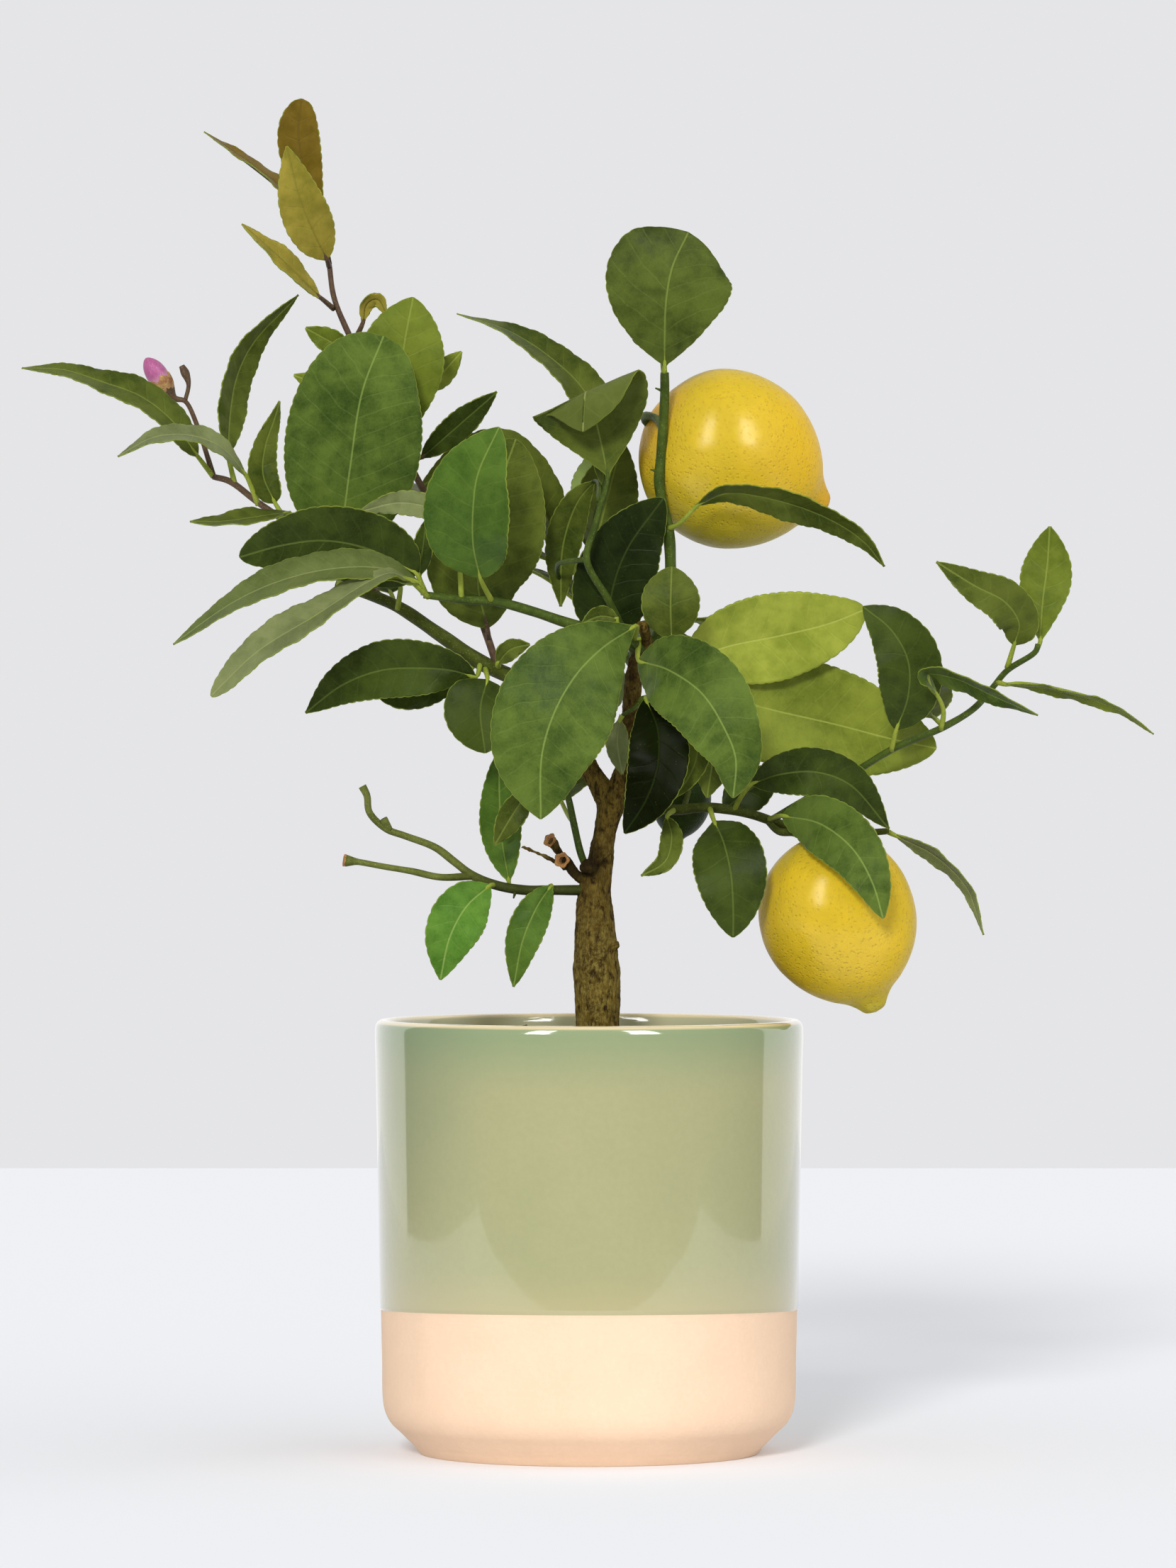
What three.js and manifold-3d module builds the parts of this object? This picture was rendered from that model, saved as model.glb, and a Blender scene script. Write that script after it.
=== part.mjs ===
// A lemon tree in a round, half-glazed clay pot, with two ripe lemons, an unripe one and a flower bud.
// Millimetres, +Z up. The origin is the centre of the pot's flat underside, and -Y is the front.
import * as THREE from "three";
import { mergeVertices } from "three/addons/utils/BufferGeometryUtils.js";
import Module from "manifold-3d";

const wasm = await Module();
wasm.setup();

// ---- Driving dimensions ----
const POT_RADIUS = 90.6;
const POT_HEIGHT = 183.3;
const POT_WALL = 6.2;
const POT_FLOOR = 10;
const POT_FACETS = 36;
const GLAZE_EDGE_HEIGHT = 61;
const GLAZE_THICKNESS = 0.35;
const FOOT_RADIUS = 72;

const SOIL_HEIGHT = 173.5;
const SOIL_FACETS = 24;
const SOIL_ROUGHNESS = 1.3;
const SOIL_CHIPS = 12;
const SOIL_HOLE_GAP = 1; // clearance round the trunk in its hole

const TRUNK_SIDES = 10;
const LIMB_SIDES = 8;
const LEMON_FACETS = 16;
const SMALL_FRUIT_FACETS = 10;

const GAP = 0.35; // clearance between one piece and the piece that it sits on or in
const BLADE_THICKNESS = 0.7;
const RIB_DEPTH = 0.5; // how far the midrib stands out under the blade
const CRENATION = 0.05; // how far the scalloped edge swings, as a part of the half width
const PETIOLE_RADIUS = 0.95;
const RIPPLE_STEP = 2.1; // radians of an edge's wave from one section of the blade to the next
const LONG_BLADE = 60;
const SHORT_BLADE = 34;

const UPPER_LEMON = { radius: 38, length: 86.5, stalkEnd: [25, 25, 437.5], nipple: [102, 37, 399] };
const LOWER_LEMON = { radius: 33, length: 79, stalkEnd: [92, -9, 259.5], nipple: [121, -4, 187.5] };
const UNRIPE_LEMON = { radius: 12.6, length: 34, stalkEnd: [41, 22, 291], nipple: [37, 26, 259] };
const BUD = { radius: 4.7, length: 16.4, stalkEnd: [-178.6, 32, 449.8], nipple: [-187.8, 32, 463.4] };

// Places in the plant are written [across, depth, height] as they look from the front, measured against
// the trunk's own plane, from an eye at this height and distance. place() moves each one along the line
// of sight to its real position.
const EYE_HEIGHT = 297;
const VIEW_DISTANCE = 3525;

function place([across, depth, height]) {
  const spread = 1 + depth / VIEW_DISTANCE;
  return new THREE.Vector3(across * spread, depth, EYE_HEIGHT + (height - EYE_HEIGHT) * spread);
}

// ---- Colours and finishes ----
function finish(color, roughness) {
  return new THREE.MeshStandardMaterial({ color, roughness, metalness: 0 });
}
const CLAY = finish(0xb9bd94, 0.35);
const SOIL = finish(0x3a2a20, 0.95);
const BARK = finish(0x6e5528, 0.85);
const LEAF_BRONZE = finish(0x82732d, 0.5);
const LEAF_GREEN = finish(0x4a6e32, 0.45);
const LEAF_LIME = finish(0x8c9b32, 0.45);
const LEAF_DARK = finish(0x2f4a20, 0.45);
const LEMON_YELLOW = finish(0xe0c42a, 0.45);
const LEMON_GREEN = finish(0x3f5a26, 0.5);
const BUD_PINK = finish(0xb07a94, 0.5);

// ---- Closed shells ----
// A seeded draw between 0 and 1, the same on every run.
function randomDraw(seed) {
  let state = seed;
  return () => {
    state = (state * 16807) % 2147483647;
    return state / 2147483647;
  };
}

function geometryOf(vertices, triangles) {
  const geometry = new THREE.BufferGeometry();
  const numbers = vertices.flatMap((vertex) => vertex.toArray());
  geometry.setAttribute("position", new THREE.Float32BufferAttribute(numbers, 3));
  geometry.setIndex(triangles);
  return geometry;
}

function solidOf(geometry) {
  const bare = geometry.clone();
  bare.deleteAttribute("normal");
  bare.deleteAttribute("uv");
  const merged = mergeVertices(bare, 1e-4);
  return new wasm.Manifold(new wasm.Mesh({
    numProp: 3,
    vertProperties: new Float32Array(merged.attributes.position.array),
    triVerts: new Uint32Array(merged.index.array),
  }));
}

function joined(solids) {
  return solids.reduce((whole, next) => whole.add(next));
}

function without(solid, cutters) {
  return cutters.reduce((rest, cutter) => rest.subtract(cutter), solid);
}

// The largest body of a solid. Scraps that a cut leaves behind are dropped.
function mainBody(solid) {
  const bodies = solid.decompose();
  return bodies.reduce((best, body) => (body.volume() > best.volume() ? body : best));
}

function meshOf(name, solid, material) {
  const { vertProperties, triVerts } = solid.getMesh();
  const geometry = new THREE.BufferGeometry();
  geometry.setAttribute("position", new THREE.Float32BufferAttribute(vertProperties, 3));
  geometry.setIndex(new THREE.Uint32BufferAttribute(triVerts, 1));
  geometry.computeVertexNormals();
  const mesh = new THREE.Mesh(geometry, material);
  mesh.name = name;
  return mesh;
}

// Rings of equal count joined into one closed shell, with a point closing each end.
function shellOf(rings, firstPoint, lastPoint) {
  const count = rings[0].length;
  const vertices = [...rings.flat(), firstPoint, lastPoint];
  const first = vertices.length - 2;
  const last = vertices.length - 1;
  const triangles = [];
  for (let side = 0; side < count; side += 1) {
    const next = (side + 1) % count;
    triangles.push(first, next, side);
    for (let ring = 0; ring < rings.length - 1; ring += 1) {
      const low = ring * count;
      const high = low + count;
      triangles.push(low + side, low + next, high + next);
      triangles.push(low + side, high + next, high + side);
    }
    const end = (rings.length - 1) * count;
    triangles.push(last, end + side, end + next);
  }
  return geometryOf(vertices, triangles);
}

// A stem, limb or stalk: round rings along a curve through points [across, depth, height, radius].
// relief(angle, along) scales the radius, for bark.
function stem(points, { sides = 6, steps = 1, extra = 0, relief = () => 1 } = {}) {
  const curve = new THREE.CatmullRomCurve3(points.map(place), false, "centripetal");
  const spans = points.length - 1;
  const total = spans * steps;
  const normal = new THREE.Vector3(0, -1, 0);
  const rings = [];
  for (let i = 0; i <= total; i += 1) {
    const along = i / total;
    const span = Math.min(Math.floor(along * spans), spans - 1);
    const radius = extra + THREE.MathUtils.lerp(points[span][3], points[span + 1][3], along * spans - span);
    const centre = curve.getPoint(along);
    const tangent = curve.getTangent(along);
    if (Math.abs(tangent.dot(normal)) > 0.98) normal.set(1, 0, 0);
    normal.addScaledVector(tangent, -normal.dot(tangent)).normalize();
    const across = tangent.clone().cross(normal);
    const ring = [];
    for (let side = 0; side < sides; side += 1) {
      const angle = (side / sides) * 2 * Math.PI;
      const reach = radius * relief(angle, along);
      ring.push(centre.clone()
        .addScaledVector(normal, Math.cos(angle) * reach)
        .addScaledVector(across, Math.sin(angle) * reach));
    }
    rings.push(ring);
  }
  const start = curve.getPoint(0).addScaledVector(curve.getTangent(0), -0.4 * (points[0][3] + extra));
  const end = curve.getPoint(1).addScaledVector(curve.getTangent(1), 0.5 * (points[spans][3] + extra));
  return shellOf(rings, start, end);
}

// A leaf: a petiole from the stem at `from`, by way of any bend, and a blade along its midrib, which runs
// from the base to the tip. The whole leaf is one shell of six-cornered rings.
// width: the whole blade at its widest, at the part `belly` of its length.
// face: where the upper face looks, and turn: the degrees that it is rolled about the midrib at the base
// and at the tip; a positive roll takes the right-hand edge away from the eye.
// fold: how far the halves rise into a V, wave: the swing of the edge in mm, full: how blunt the ends are.
// rolled: the blade doubles back on itself, so its face is carried along the midrib, not kept to `face`.
function leaf({ from, bend = [], rib, width, turn = [0, 0], belly = 0.45, fold = 0.18, wave = 0.6, full = 0.8,
  face = [0, -1, 0], rolled = false }) {
  const curve = new THREE.CatmullRomCurve3(rib.map(place), false, "centripetal");
  const length = curve.getLength();
  const stations = length > LONG_BLADE ? 8 : length > SHORT_BLADE ? 6 : 5;
  const skew = Math.log(0.5) / Math.log(belly);
  let look = new THREE.Vector3(...face).normalize();
  const half = BLADE_THICKNESS / 2;
  const rings = [];
  for (let i = 0; i <= stations; i += 1) {
    const along = i / stations;
    const centre = curve.getPointAt(along);
    const tangent = curve.getTangentAt(along);
    const level = look.clone().addScaledVector(tangent, -look.dot(tangent)).normalize();
    if (rolled) look = level;
    const right = tangent.clone().cross(level);
    const roll = THREE.MathUtils.degToRad(THREE.MathUtils.lerp(turn[0], turn[1], along));
    const up = level.clone().multiplyScalar(Math.cos(roll)).addScaledVector(right, Math.sin(roll));
    const out = right.clone().multiplyScalar(Math.cos(roll)).addScaledVector(level, -Math.sin(roll));
    const swell = Math.sin(Math.PI * along ** skew) ** full;
    const scallop = i % 2 === 0 ? 1 - CRENATION : 1 + CRENATION;
    const reach = Math.max(PETIOLE_RADIUS * (1 - 0.5 * along), (width / 2) * swell * scallop);
    const ripple = wave * swell * Math.sin(i * RIPPLE_STEP + width);
    rings.push(leafRing(centre, out, up, reach, half, RIB_DEPTH * (1 - along), fold * reach * swell, ripple));
    if (i === 0) {
      const route = [from, ...bend].map(place);
      rings.unshift(...petioleRings(route, centre, out, up));
    }
  }
  return solidOf(leafShell(rings));
}

// The six corners of a leaf's section: right edge, midrib and left edge on the upper face, and back below.
function leafRing(centre, out, up, reach, half, ribDepth, rise, ripple) {
  const edge = (side, height) => centre.clone()
    .addScaledVector(out, side * reach)
    .addScaledVector(up, rise + side * ripple + height);
  return [
    edge(1, half),
    centre.clone().addScaledVector(up, half),
    edge(-1, half),
    edge(-1, -half),
    centre.clone().addScaledVector(up, -half - ribDepth),
    edge(1, -half),
  ];
}

// The petiole's rings from the stem to the blade's base. The blade's own directions are carried back along
// the route, so that the petiole doesn't twist.
function petioleRings(route, base, out, up) {
  const spots = [...route, base];
  const rings = [];
  const side = out.clone();
  const above = up.clone();
  for (let i = route.length - 1; i >= 0; i -= 1) {
    const way = spots[i + 1].clone().sub(spots[Math.max(i - 1, 0)]).normalize();
    side.addScaledVector(way, -side.dot(way));
    if (side.length() < 0.2) side.copy(way.clone().cross(above));
    side.normalize();
    above.copy(side.clone().cross(way)).normalize();
    rings.unshift(leafRing(spots[i], side, above, PETIOLE_RADIUS, 0.6 * PETIOLE_RADIUS, 0.2, 0, 0));
  }
  return rings;
}

// The leaf's shell: both faces are split into triangles alike, so that a waved blade never crosses itself.
function leafShell(rings) {
  const triangles = [];
  const quad = (a, b, c, d) => triangles.push(a, b, c, a, c, d);
  for (let ring = 0; ring < rings.length - 1; ring += 1) {
    const low = ring * 6;
    const high = low + 6;
    quad(low, high, high + 1, low + 1);
    quad(low + 1, high + 1, high + 2, low + 2);
    quad(low + 2, high + 2, high + 3, low + 3);
    quad(low + 4, low + 3, high + 3, high + 4);
    quad(low + 5, low + 4, high + 4, high + 5);
    quad(low + 5, high + 5, high, low);
  }
  const end = (rings.length - 1) * 6;
  triangles.push(0, 1, 4, 0, 4, 5, 1, 2, 3, 1, 3, 4);
  triangles.push(end, end + 4, end + 1, end, end + 5, end + 4);
  triangles.push(end + 1, end + 3, end + 2, end + 1, end + 4, end + 3);
  return geometryOf(rings.flat(), triangles);
}

// ---- The plant: limbs, shoots and leaves ----
// Limb and stem points are [across, depth, height, radius]; leaf points are [across, depth, height].
const TRUNK_LINE = [
  [4, 0, 122, 6], [4, 0, 150, 9.2], [3.6, 0, 181, 9.2], [3.6, 0, 195, 9.6], [3, 0, 207, 9.6],
  [2.8, 0, 222, 8.4], [2.3, 0, 237, 7.2], [4.5, 0, 248, 5.4], [6.2, 0, 260, 4.6], [9, 0, 274, 5.4],
];
const LEFT_LIMB_LINE = [
  [9, 0, 272, 4.6], [6, 0, 279, 4.7], [0, 2, 290, 4.2], [-9, 3, 303, 4], [-21, 4, 318, 3.8],
  [-34, 4, 329, 3.4],
];
const RIGHT_LIMB_LINE = [
  [9, 0, 272, 4.6], [12.5, 0, 281, 4.6], [16, 0, 293, 4.2], [18, 0, 315, 3.8], [20, 0, 333, 3.7],
  [25, 0, 342, 3.6],
];
const CUT_STUB_LINE = [[25, -1, 341, 2.4], [24, -6, 346, 2.2], [23, -11, 350, 2.9], [22.5, -12, 351, 2.2]];
const TRUNK_SCARS = [
  [[2, -3, 246, 3], [-1, -8, 248, 3.4], [-2, -9.5, 248.5, 2.2]],
  [[6, -2, 214, 3], [12.6, -3, 215, 1.6]],
  [[2, 0, 240, 2.4], [-6, -3, 245, 2.2], [-10, -5, 251, 2], [-11.5, -6, 251.5, 2.8]],
  [[-7, -3, 246, 1.8], [-12, -2, 253, 1.5], [-16, -4, 259, 2.4]],
  [[-10, -4, 247, 1.2], [-16, -7, 251, 0.9], [-22.5, -8, 254, 0.8], [-28.5, -9, 256.5, 0.7]],
  [[0, -7, 248, 1.7], [5, -9.5, 251, 1.1], [9.5, -10.5, 254.5, 0.8]],
];

const LEFT_BRANCH = {
  stems: [
    [[-33, 4, 328.4, 3.4], [-45, 4, 334, 3.3], [-63, 4, 346, 2.9], [-81, 4, 358, 2.6], [-98, 5, 365, 2.4],
      [-107, 6, 368, 2.2]],
  ],
  leaves: [
    { from: [-46, 2, 334], rib: [[-48, -4, 328], [-58, -9, 331], [-73, -12, 332], [-88, -13, 331],
      [-104, -11, 325], [-120, -6, 313]], width: 25, turn: [-10, 15] },
    { from: [-44, 2, 332], rib: [[-43, -6, 327], [-46, -13, 315], [-44, -19, 296]], width: 31, full: 0.6 },
    { from: [-38, 3, 332], rib: [[-39, -3, 334], [-33, -6, 340], [-25, -6, 342]], width: 9 },
    { from: [-106, 4, 367], bend: [[-104, -6, 376]], rib: [[-105, -8, 387.5], [-101, -12, 418],
      [-96, -15, 449], [-87, -13, 472.5]], width: 58, belly: 0.46, full: 0.4, fold: 0.1 },
    { from: [-81, 2, 357], rib: [[-80, -6, 368], [-89, -9, 370], [-99, -10, 366]], width: 9,
      turn: [20, 20] },
    { from: [-47, 5, 335], rib: [[-53, 6, 329], [-66, 2, 324], [-80, -1, 321], [-95, -2, 325]], width: 15 },
    { from: [-82, 6, 358], rib: [[-84, 14, 364], [-91, 34, 374], [-97, 54, 378]], width: 30,
      face: [-0.2, 0.3, 1] },
  ],
};

const TOP_SHOOT = {
  stems: [
    [[-39, 4, 333, 1.6], [-44, 7, 348, 1.6], [-54, 11, 375, 1.5], [-69, 16, 405, 1.5], [-83, 22, 432, 1.4],
      [-93, 28, 456, 1.4], [-102, 33, 474, 1.3], [-108, 37, 489, 1.2], [-110, 40, 503, 1.1]],
  ],
  leaves: [
    { from: [-110, 40, 503], rib: [[-113, 41, 518], [-120, 39, 540], [-123, 37.5, 558], [-121.5, 36, 573]],
      width: 18.5, belly: 0.66, full: 0.45 },
    { from: [-110, 39, 502], rib: [[-111, 34, 505], [-116.5, 28, 516], [-122.5, 23, 531],
      [-128, 20, 553]], width: 21, belly: 0.4 },
    { from: [-110, 41, 502], rib: [[-114, 49, 519], [-131, 54, 536], [-144, 54, 546], [-163, 50, 559]],
      width: 14, turn: [70, 73] },
    { from: [-108, 36, 484], rib: [[-114, 30, 489], [-130, 22, 505], [-147, 18, 520]], width: 14,
      turn: [50, 58] },
    { from: [-99, 32, 471], rib: [[-95.5, 29, 479], [-94, 27, 486], [-89.5, 25, 488], [-85.5, 24, 481]],
      width: 7, turn: [30, 30] },
    { from: [-98.5, 31, 467], rib: [[-101, 27, 466], [-109, 24, 470], [-120, 20, 476]], width: 11 },
    { from: [-89, 26, 446], rib: [[-96, 24, 447], [-111, 22, 451], [-125, 18, 456]], width: 12 },
    { from: [-84, 22, 434], bend: [[-76, 28, 442]], rib: [[-70, 29, 449], [-62, 29, 457], [-54, 28, 466]],
      width: 11 },
    { from: [-78, 20, 423], rib: [[-81, 12, 426], [-80.5, 5, 445], [-78.5, 3, 467], [-74.5, 6, 489]],
      width: 36, belly: 0.57, full: 0.68 },
    { from: [-77, 20, 421], rib: [[-71, 21, 421], [-55, 20, 435], [-39, 16, 449]], width: 13,
      turn: [15, 15] },
    { from: [-42.5, 6, 344], rib: [[-43, 1, 349], [-47, -3, 368], [-43, -4, 394], [-31, -3, 429]],
      width: 51, belly: 0.5, full: 0.62, fold: 0.1 },
    { from: [-84, 23, 434], rib: [[-87, 30, 439], [-95, 48, 448], [-103, 70, 447]], width: 30,
      face: [-0.4, 0.4, 1] },
    { from: [-69, 16, 405], rib: [[-70, 26, 406], [-74, 48, 410], [-80, 70, 404]], width: 28,
      face: [0, 0.3, 1] },
  ],
};

const LEFT_SHOOT = {
  stems: [
    [[-88, 5, 362, 1.5], [-106, 8, 377, 1.5], [-124, 12, 391, 1.5], [-140, 17, 402, 1.4],
      [-152, 22, 411, 1.4],
      [-159, 26, 413, 1.3]],
    [[-159, 26, 413, 1.3], [-162, 28, 423, 1.1], [-166, 30, 435, 1], [-171, 31, 445, 1],
      [-175.5, 31.7, 446.2, 1.4], [-179.5, 32, 451.4, 4.2]],
    [[-171, 31, 445, 0.9], [-169.5, 32, 452, 0.9], [-171, 33, 457, 2], [-172.5, 33, 460, 1.2]],
  ],
  leaves: [
    { from: [-159, 26, 413], rib: [[-166, 23, 422], [-177, 20, 437], [-190, 19, 447], [-206, 22, 453],
      [-222, 28, 458], [-240, 38, 459]], width: 19, turn: [42, 58], belly: 0.35 },
    { from: [-140, 17, 401], rib: [[-145.5, 12, 414], [-156, 4, 425.5], [-170, -3, 430.5],
      [-184, -7, 429.5], [-199.5, -10, 421.5]], width: 15, turn: [58, 56] },
    { from: [-126, 12, 393], rib: [[-127, 7, 398], [-140, 0, 396], [-155, -5, 394], [-169, -7, 394]],
      width: 15, turn: [62, 62] },
    { from: [-150, 21, 410], rib: [[-153, 27, 423], [-152, 36, 440], [-149, 42, 456], [-142, 46, 470],
      [-123, 48, 490]], width: 17, turn: [40, 50], belly: 0.4 },
    { from: [-128, 13, 394], rib: [[-133, 14, 402], [-138, 16, 414], [-137, 17, 426], [-133, 16, 438],
      [-131, 13, 445]], width: 13, belly: 0.28 },
  ],
};

const FRONT_SHOOT = {
  stems: [
    [[23, -1, 339, 2.2], [18, -9, 342.5, 2.3], [9, -15, 346, 2.3], [-9, -19, 351, 2.3],
      [-24, -21, 356, 2.1],
      [-39, -21, 360, 1.9], [-54, -20, 361, 1.7], [-70, -19, 363, 1.6]],
  ],
  leaves: [
    { from: [-41, -21, 360], rib: [[-46, -34, 370], [-49, -44, 384], [-49, -51, 400], [-47, -55, 414],
      [-38, -57, 434]], width: 39, turn: [-22, -18], fold: 0.4, full: 0.7 },
    { from: [-54, -20, 361], bend: [[-55, -22, 378]], rib: [[-57, -25, 390], [-66, -27, 399],
      [-80, -27, 402],
      [-98, -24, 398]], width: 11 },
    { from: [-70, -19, 363], rib: [[-73, -19, 372], [-92, -23, 382], [-112, -24, 386], [-130, -22, 384],
      [-148, -18, 379]], width: 32, belly: 0.38, full: 0.55, turn: [-10, -10] },
    { from: [-69, -19, 363], rib: [[-72, -18, 371], [-70.5, -20, 382], [-69, -20, 395]], width: 9 },
    { from: [-69, -20, 363], rib: [[-72, -26, 368], [-87, -35, 374], [-108, -41, 374], [-130, -43, 369],
      [-150, -41, 360], [-176, -34, 342]], width: 23, turn: [52, 56], belly: 0.4 },
    { from: [-68, -20, 362], rib: [[-76, -30, 369], [-84, -40, 372], [-94, -48, 368], [-116, -56, 354],
      [-140, -60, 339], [-160, -60, 320]], width: 23, turn: [66, 46], belly: 0.58, full: 0.55 },
    { from: [19, -9, 344], rib: [[20, -20, 350], [5, -38, 340], [-6, -47, 328.5], [-15, -54, 312.5],
      [-20, -57, 295],
      [-20.5, -55, 268]], width: 50, belly: 0.58, full: 0.78, fold: 0.12 },
    { from: [21, -6, 343], rib: [[21, -14, 335], [34, -33, 331], [48, -47, 321], [57, -53, 307],
      [62, -54, 294],
      [61, -51, 277]], width: 37, full: 0.7, fold: 0.14 },
    { from: [10, -15, 346], rib: [[12, -19, 353], [5, -21, 354], [-3, -22, 351]], width: 9 },
  ],
};

const CENTRE_SHOOT = {
  stems: [
    [[20, 1, 336, 1.6], [14.5, 0, 348, 1.6], [8, -7, 361, 1.6], [-1, -12, 378, 1.5], [2.5, -13, 392, 1.4],
      [6, -13, 405, 1.3]],
  ],
  leaves: [
    { from: [6, -13, 404], rib: [[8, -12, 413], [5, -8, 428], [1, -11, 444], [-1, -17, 449],
      [-2, -23, 444],
      [-2.5, -26, 432]], width: 51, belly: 0.6, full: 0.8, fold: 0.05, rolled: true },
    { from: [5, -13, 402], rib: [[6, 6, 409], [5, 12, 430], [-2, 13, 449], [-16, 12, 463], [-34, 10, 474.5],
      [-56, 6, 482]], width: 21, turn: [10, 78] },
    { from: [4, -12, 403], bend: [[4, 6, 410]], rib: [[2, 14, 411], [-5, 18, 402], [-11, 19, 384],
      [-12, 17, 358]], width: 16 },
    { from: [6, -13, 404], bend: [[3, 8, 398]], rib: [[2, 26, 381], [7, 33, 401], [14, 32, 428]],
      width: 27, full: 0.7 },
    { from: [-1, -12, 378], bend: [[-13, 5, 376]], rib: [[-12, 26, 368], [-15, 30, 386], [-24, 32, 409],
      [-37, 31, 423], [-53, 29, 420], [-72, 25, 408]], width: 27, turn: [66, 20] },
  ],
};

const UPRIGHT_SHOOT = {
  stems: [
    [[26, 1, 341, 2.4], [30, 1, 348, 2.5], [34, 2, 360, 2.5], [34.5, 3, 375, 2.4], [33.5, 3, 391, 2.4],
      [31, 3, 402, 2.3], [29.7, 3, 411, 2.3], [30.3, 3, 420, 2.2], [31.2, 2, 432, 2.1], [32, 0, 447, 2],
      [32, -2, 457, 1.8]],
    [[31, 3, 434, 1.6], [28, 12, 438, 1.6], [24.5, 20, 438.5, 1.9], [25, 24.5, 437.5, 3.4], [29, 26, 436, 3.4]],
    [[32, 0, 449, 0.9], [28, -1, 450.5, 0.3]],
    [[30, 3, 415, 0.9], [26, 2, 416, 0.3]],
  ],
  leaves: [
    { from: [32, -2, 456], rib: [[32, -2, 460], [32, -6, 471], [32.5, -8, 486], [35, -6, 501], [42, 2, 516.5]],
      width: 54, belly: 0.6, full: 0.62, fold: 0.1 },
    { from: [33.5, 2, 391], bend: [[38, -4, 393]], rib: [[46, -12, 401], [58, -20, 406], [76, -26, 404],
      [100, -28, 396], [116, -26, 386], [125, -22, 375]], width: 19, turn: [56, 50] },
    { from: [33, -1, 356], bend: [[35, -8, 348]], rib: [[35, -14, 344], [34.5, -18, 358], [35, -14, 375]],
      width: 25, belly: 0.5, full: 0.62 },
    { from: [30, 0, 346], bend: [[20, 6, 344]], rib: [[9, 4, 345], [9.5, 3, 363], [16, 0, 382],
      [31.5, -3, 404]], width: 35, belly: 0.37, full: 0.62 },
    { from: [34, 3, 352], rib: [[39, 12, 353], [50, 34, 352], [62, 58, 344]],
      width: 28, face: [0.2, 0.3, 1] },
    { from: [32, -1, 452], rib: [[31, 8, 463], [30, 20, 484], [29, 32, 502]],
      width: 30, face: [0, 1, 0.3] },
  ],
};

const FORK_SPRAY = {
  stems: [
    [[18, 0, 317, 1.8], [27, -2, 320, 1.7], [35, 2, 325, 1.6], [42, 8, 328, 1.3]],
    [[22, -1, 318, 1], [19, -7, 315, 0.9], [14, -9, 312, 0.8]],
  ],
  leaves: [
    { from: [27, -2, 320], rib: [[24, -18, 319], [29, -28, 306], [29, -33, 291], [24, -34, 276],
      [15, -31, 262]], width: 26, full: 0.7 },
    { from: [31, 0, 322], rib: [[34, -8, 317], [43, -15, 307], [46, -20, 297], [43, -21, 287],
      [36, -20, 277]],
      width: 15, turn: [30, 25] },
    { from: [35, 1, 324], rib: [[43, -10, 314], [52, -16, 299], [50, -16, 277]], width: 20 },
    { from: [14, -9, 312], rib: [[13, -9, 310], [12, -12, 300], [14, -12, 287]], width: 10 },
    { from: [40, 6, 327], rib: [[42, 8, 335], [58, 14, 341], [82, 18, 346], [102, 18, 351], [117, 14, 357]],
      width: 38, full: 0.56, fold: 0.12, turn: [10, 0] },
    { from: [42, 8, 328], rib: [[46, 12, 324], [73, 22, 315.5], [105, 26, 308], [130, 25, 301.5],
      [147, 19, 298]],
      width: 49, full: 0.6, fold: 0.1, turn: [-10, -10] },
    { from: [38, 4, 326], rib: [[42, 18, 322], [52, 42, 318], [60, 64, 308]],
      width: 32, face: [0.2, 0.3, 1] },
  ],
};

const RIGHT_BRANCH = {
  stems: [
    [[12, 0, 277, 2.6], [24, 2, 273.5, 2.3], [36, 3, 272, 2.2], [51, 4, 273, 2.1], [69, 4, 270, 2],
      [81, 6, 266, 1.9], [96, 12, 262.5, 1.7], [112, 14, 262, 1.6], [127, 12, 263, 1.4]],
    [[75, 5, 268, 1.5], [80, 0, 263, 1.5], [86, -6, 262.5, 1.6], [91, -9, 262, 2.6], [94, -9, 258, 3.6]],
    [[40, 3, 272, 1.2], [42, 13, 281, 1.2], [41, 21, 291, 1.4], [40.5, 22, 287, 2.4]],
  ],
  leaves: [
    { from: [61, 4, 271], bend: [[64, -1, 277]], rib: [[69, -6, 283], [81, -14, 287], [96, -19, 288],
      [110, -18, 283], [127, -10, 264]], width: 21, belly: 0.42, turn: [-5, 5] },
    { from: [76, 4, 268], rib: [[82, -10, 269.5], [98, -28, 266], [112, -42, 255], [120, -48, 241],
      [124.5, -50, 226]], width: 26, full: 0.7 },
    { from: [126, 12, 263], rib: [[130, 12, 261], [146, 11, 253], [160, 9, 239], [167, 7, 219]], width: 11,
      turn: [56, 62], belly: 0.38 },
    { from: [51, 4, 273], rib: [[53, -10, 267], [57, -24, 258], [60, -32, 245], [61, -34, 231],
      [61, -32, 218]], width: 31, belly: 0.5, full: 0.7 },
    { from: [52, 4, 273], rib: [[57, 12, 272], [66, 18, 279], [81, 21, 290]], width: 19 },
    { from: [36, 2, 272], rib: [[33, -8, 269], [35, -17, 260], [32, -23, 250], [22, -24, 244]], width: 10 },
    { from: [97, 12, 262], rib: [[103, 24, 258], [112, 46, 252], [118, 64, 242]], width: 28,
      face: [0.3, 0.3, 1] },
  ],
};

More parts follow.
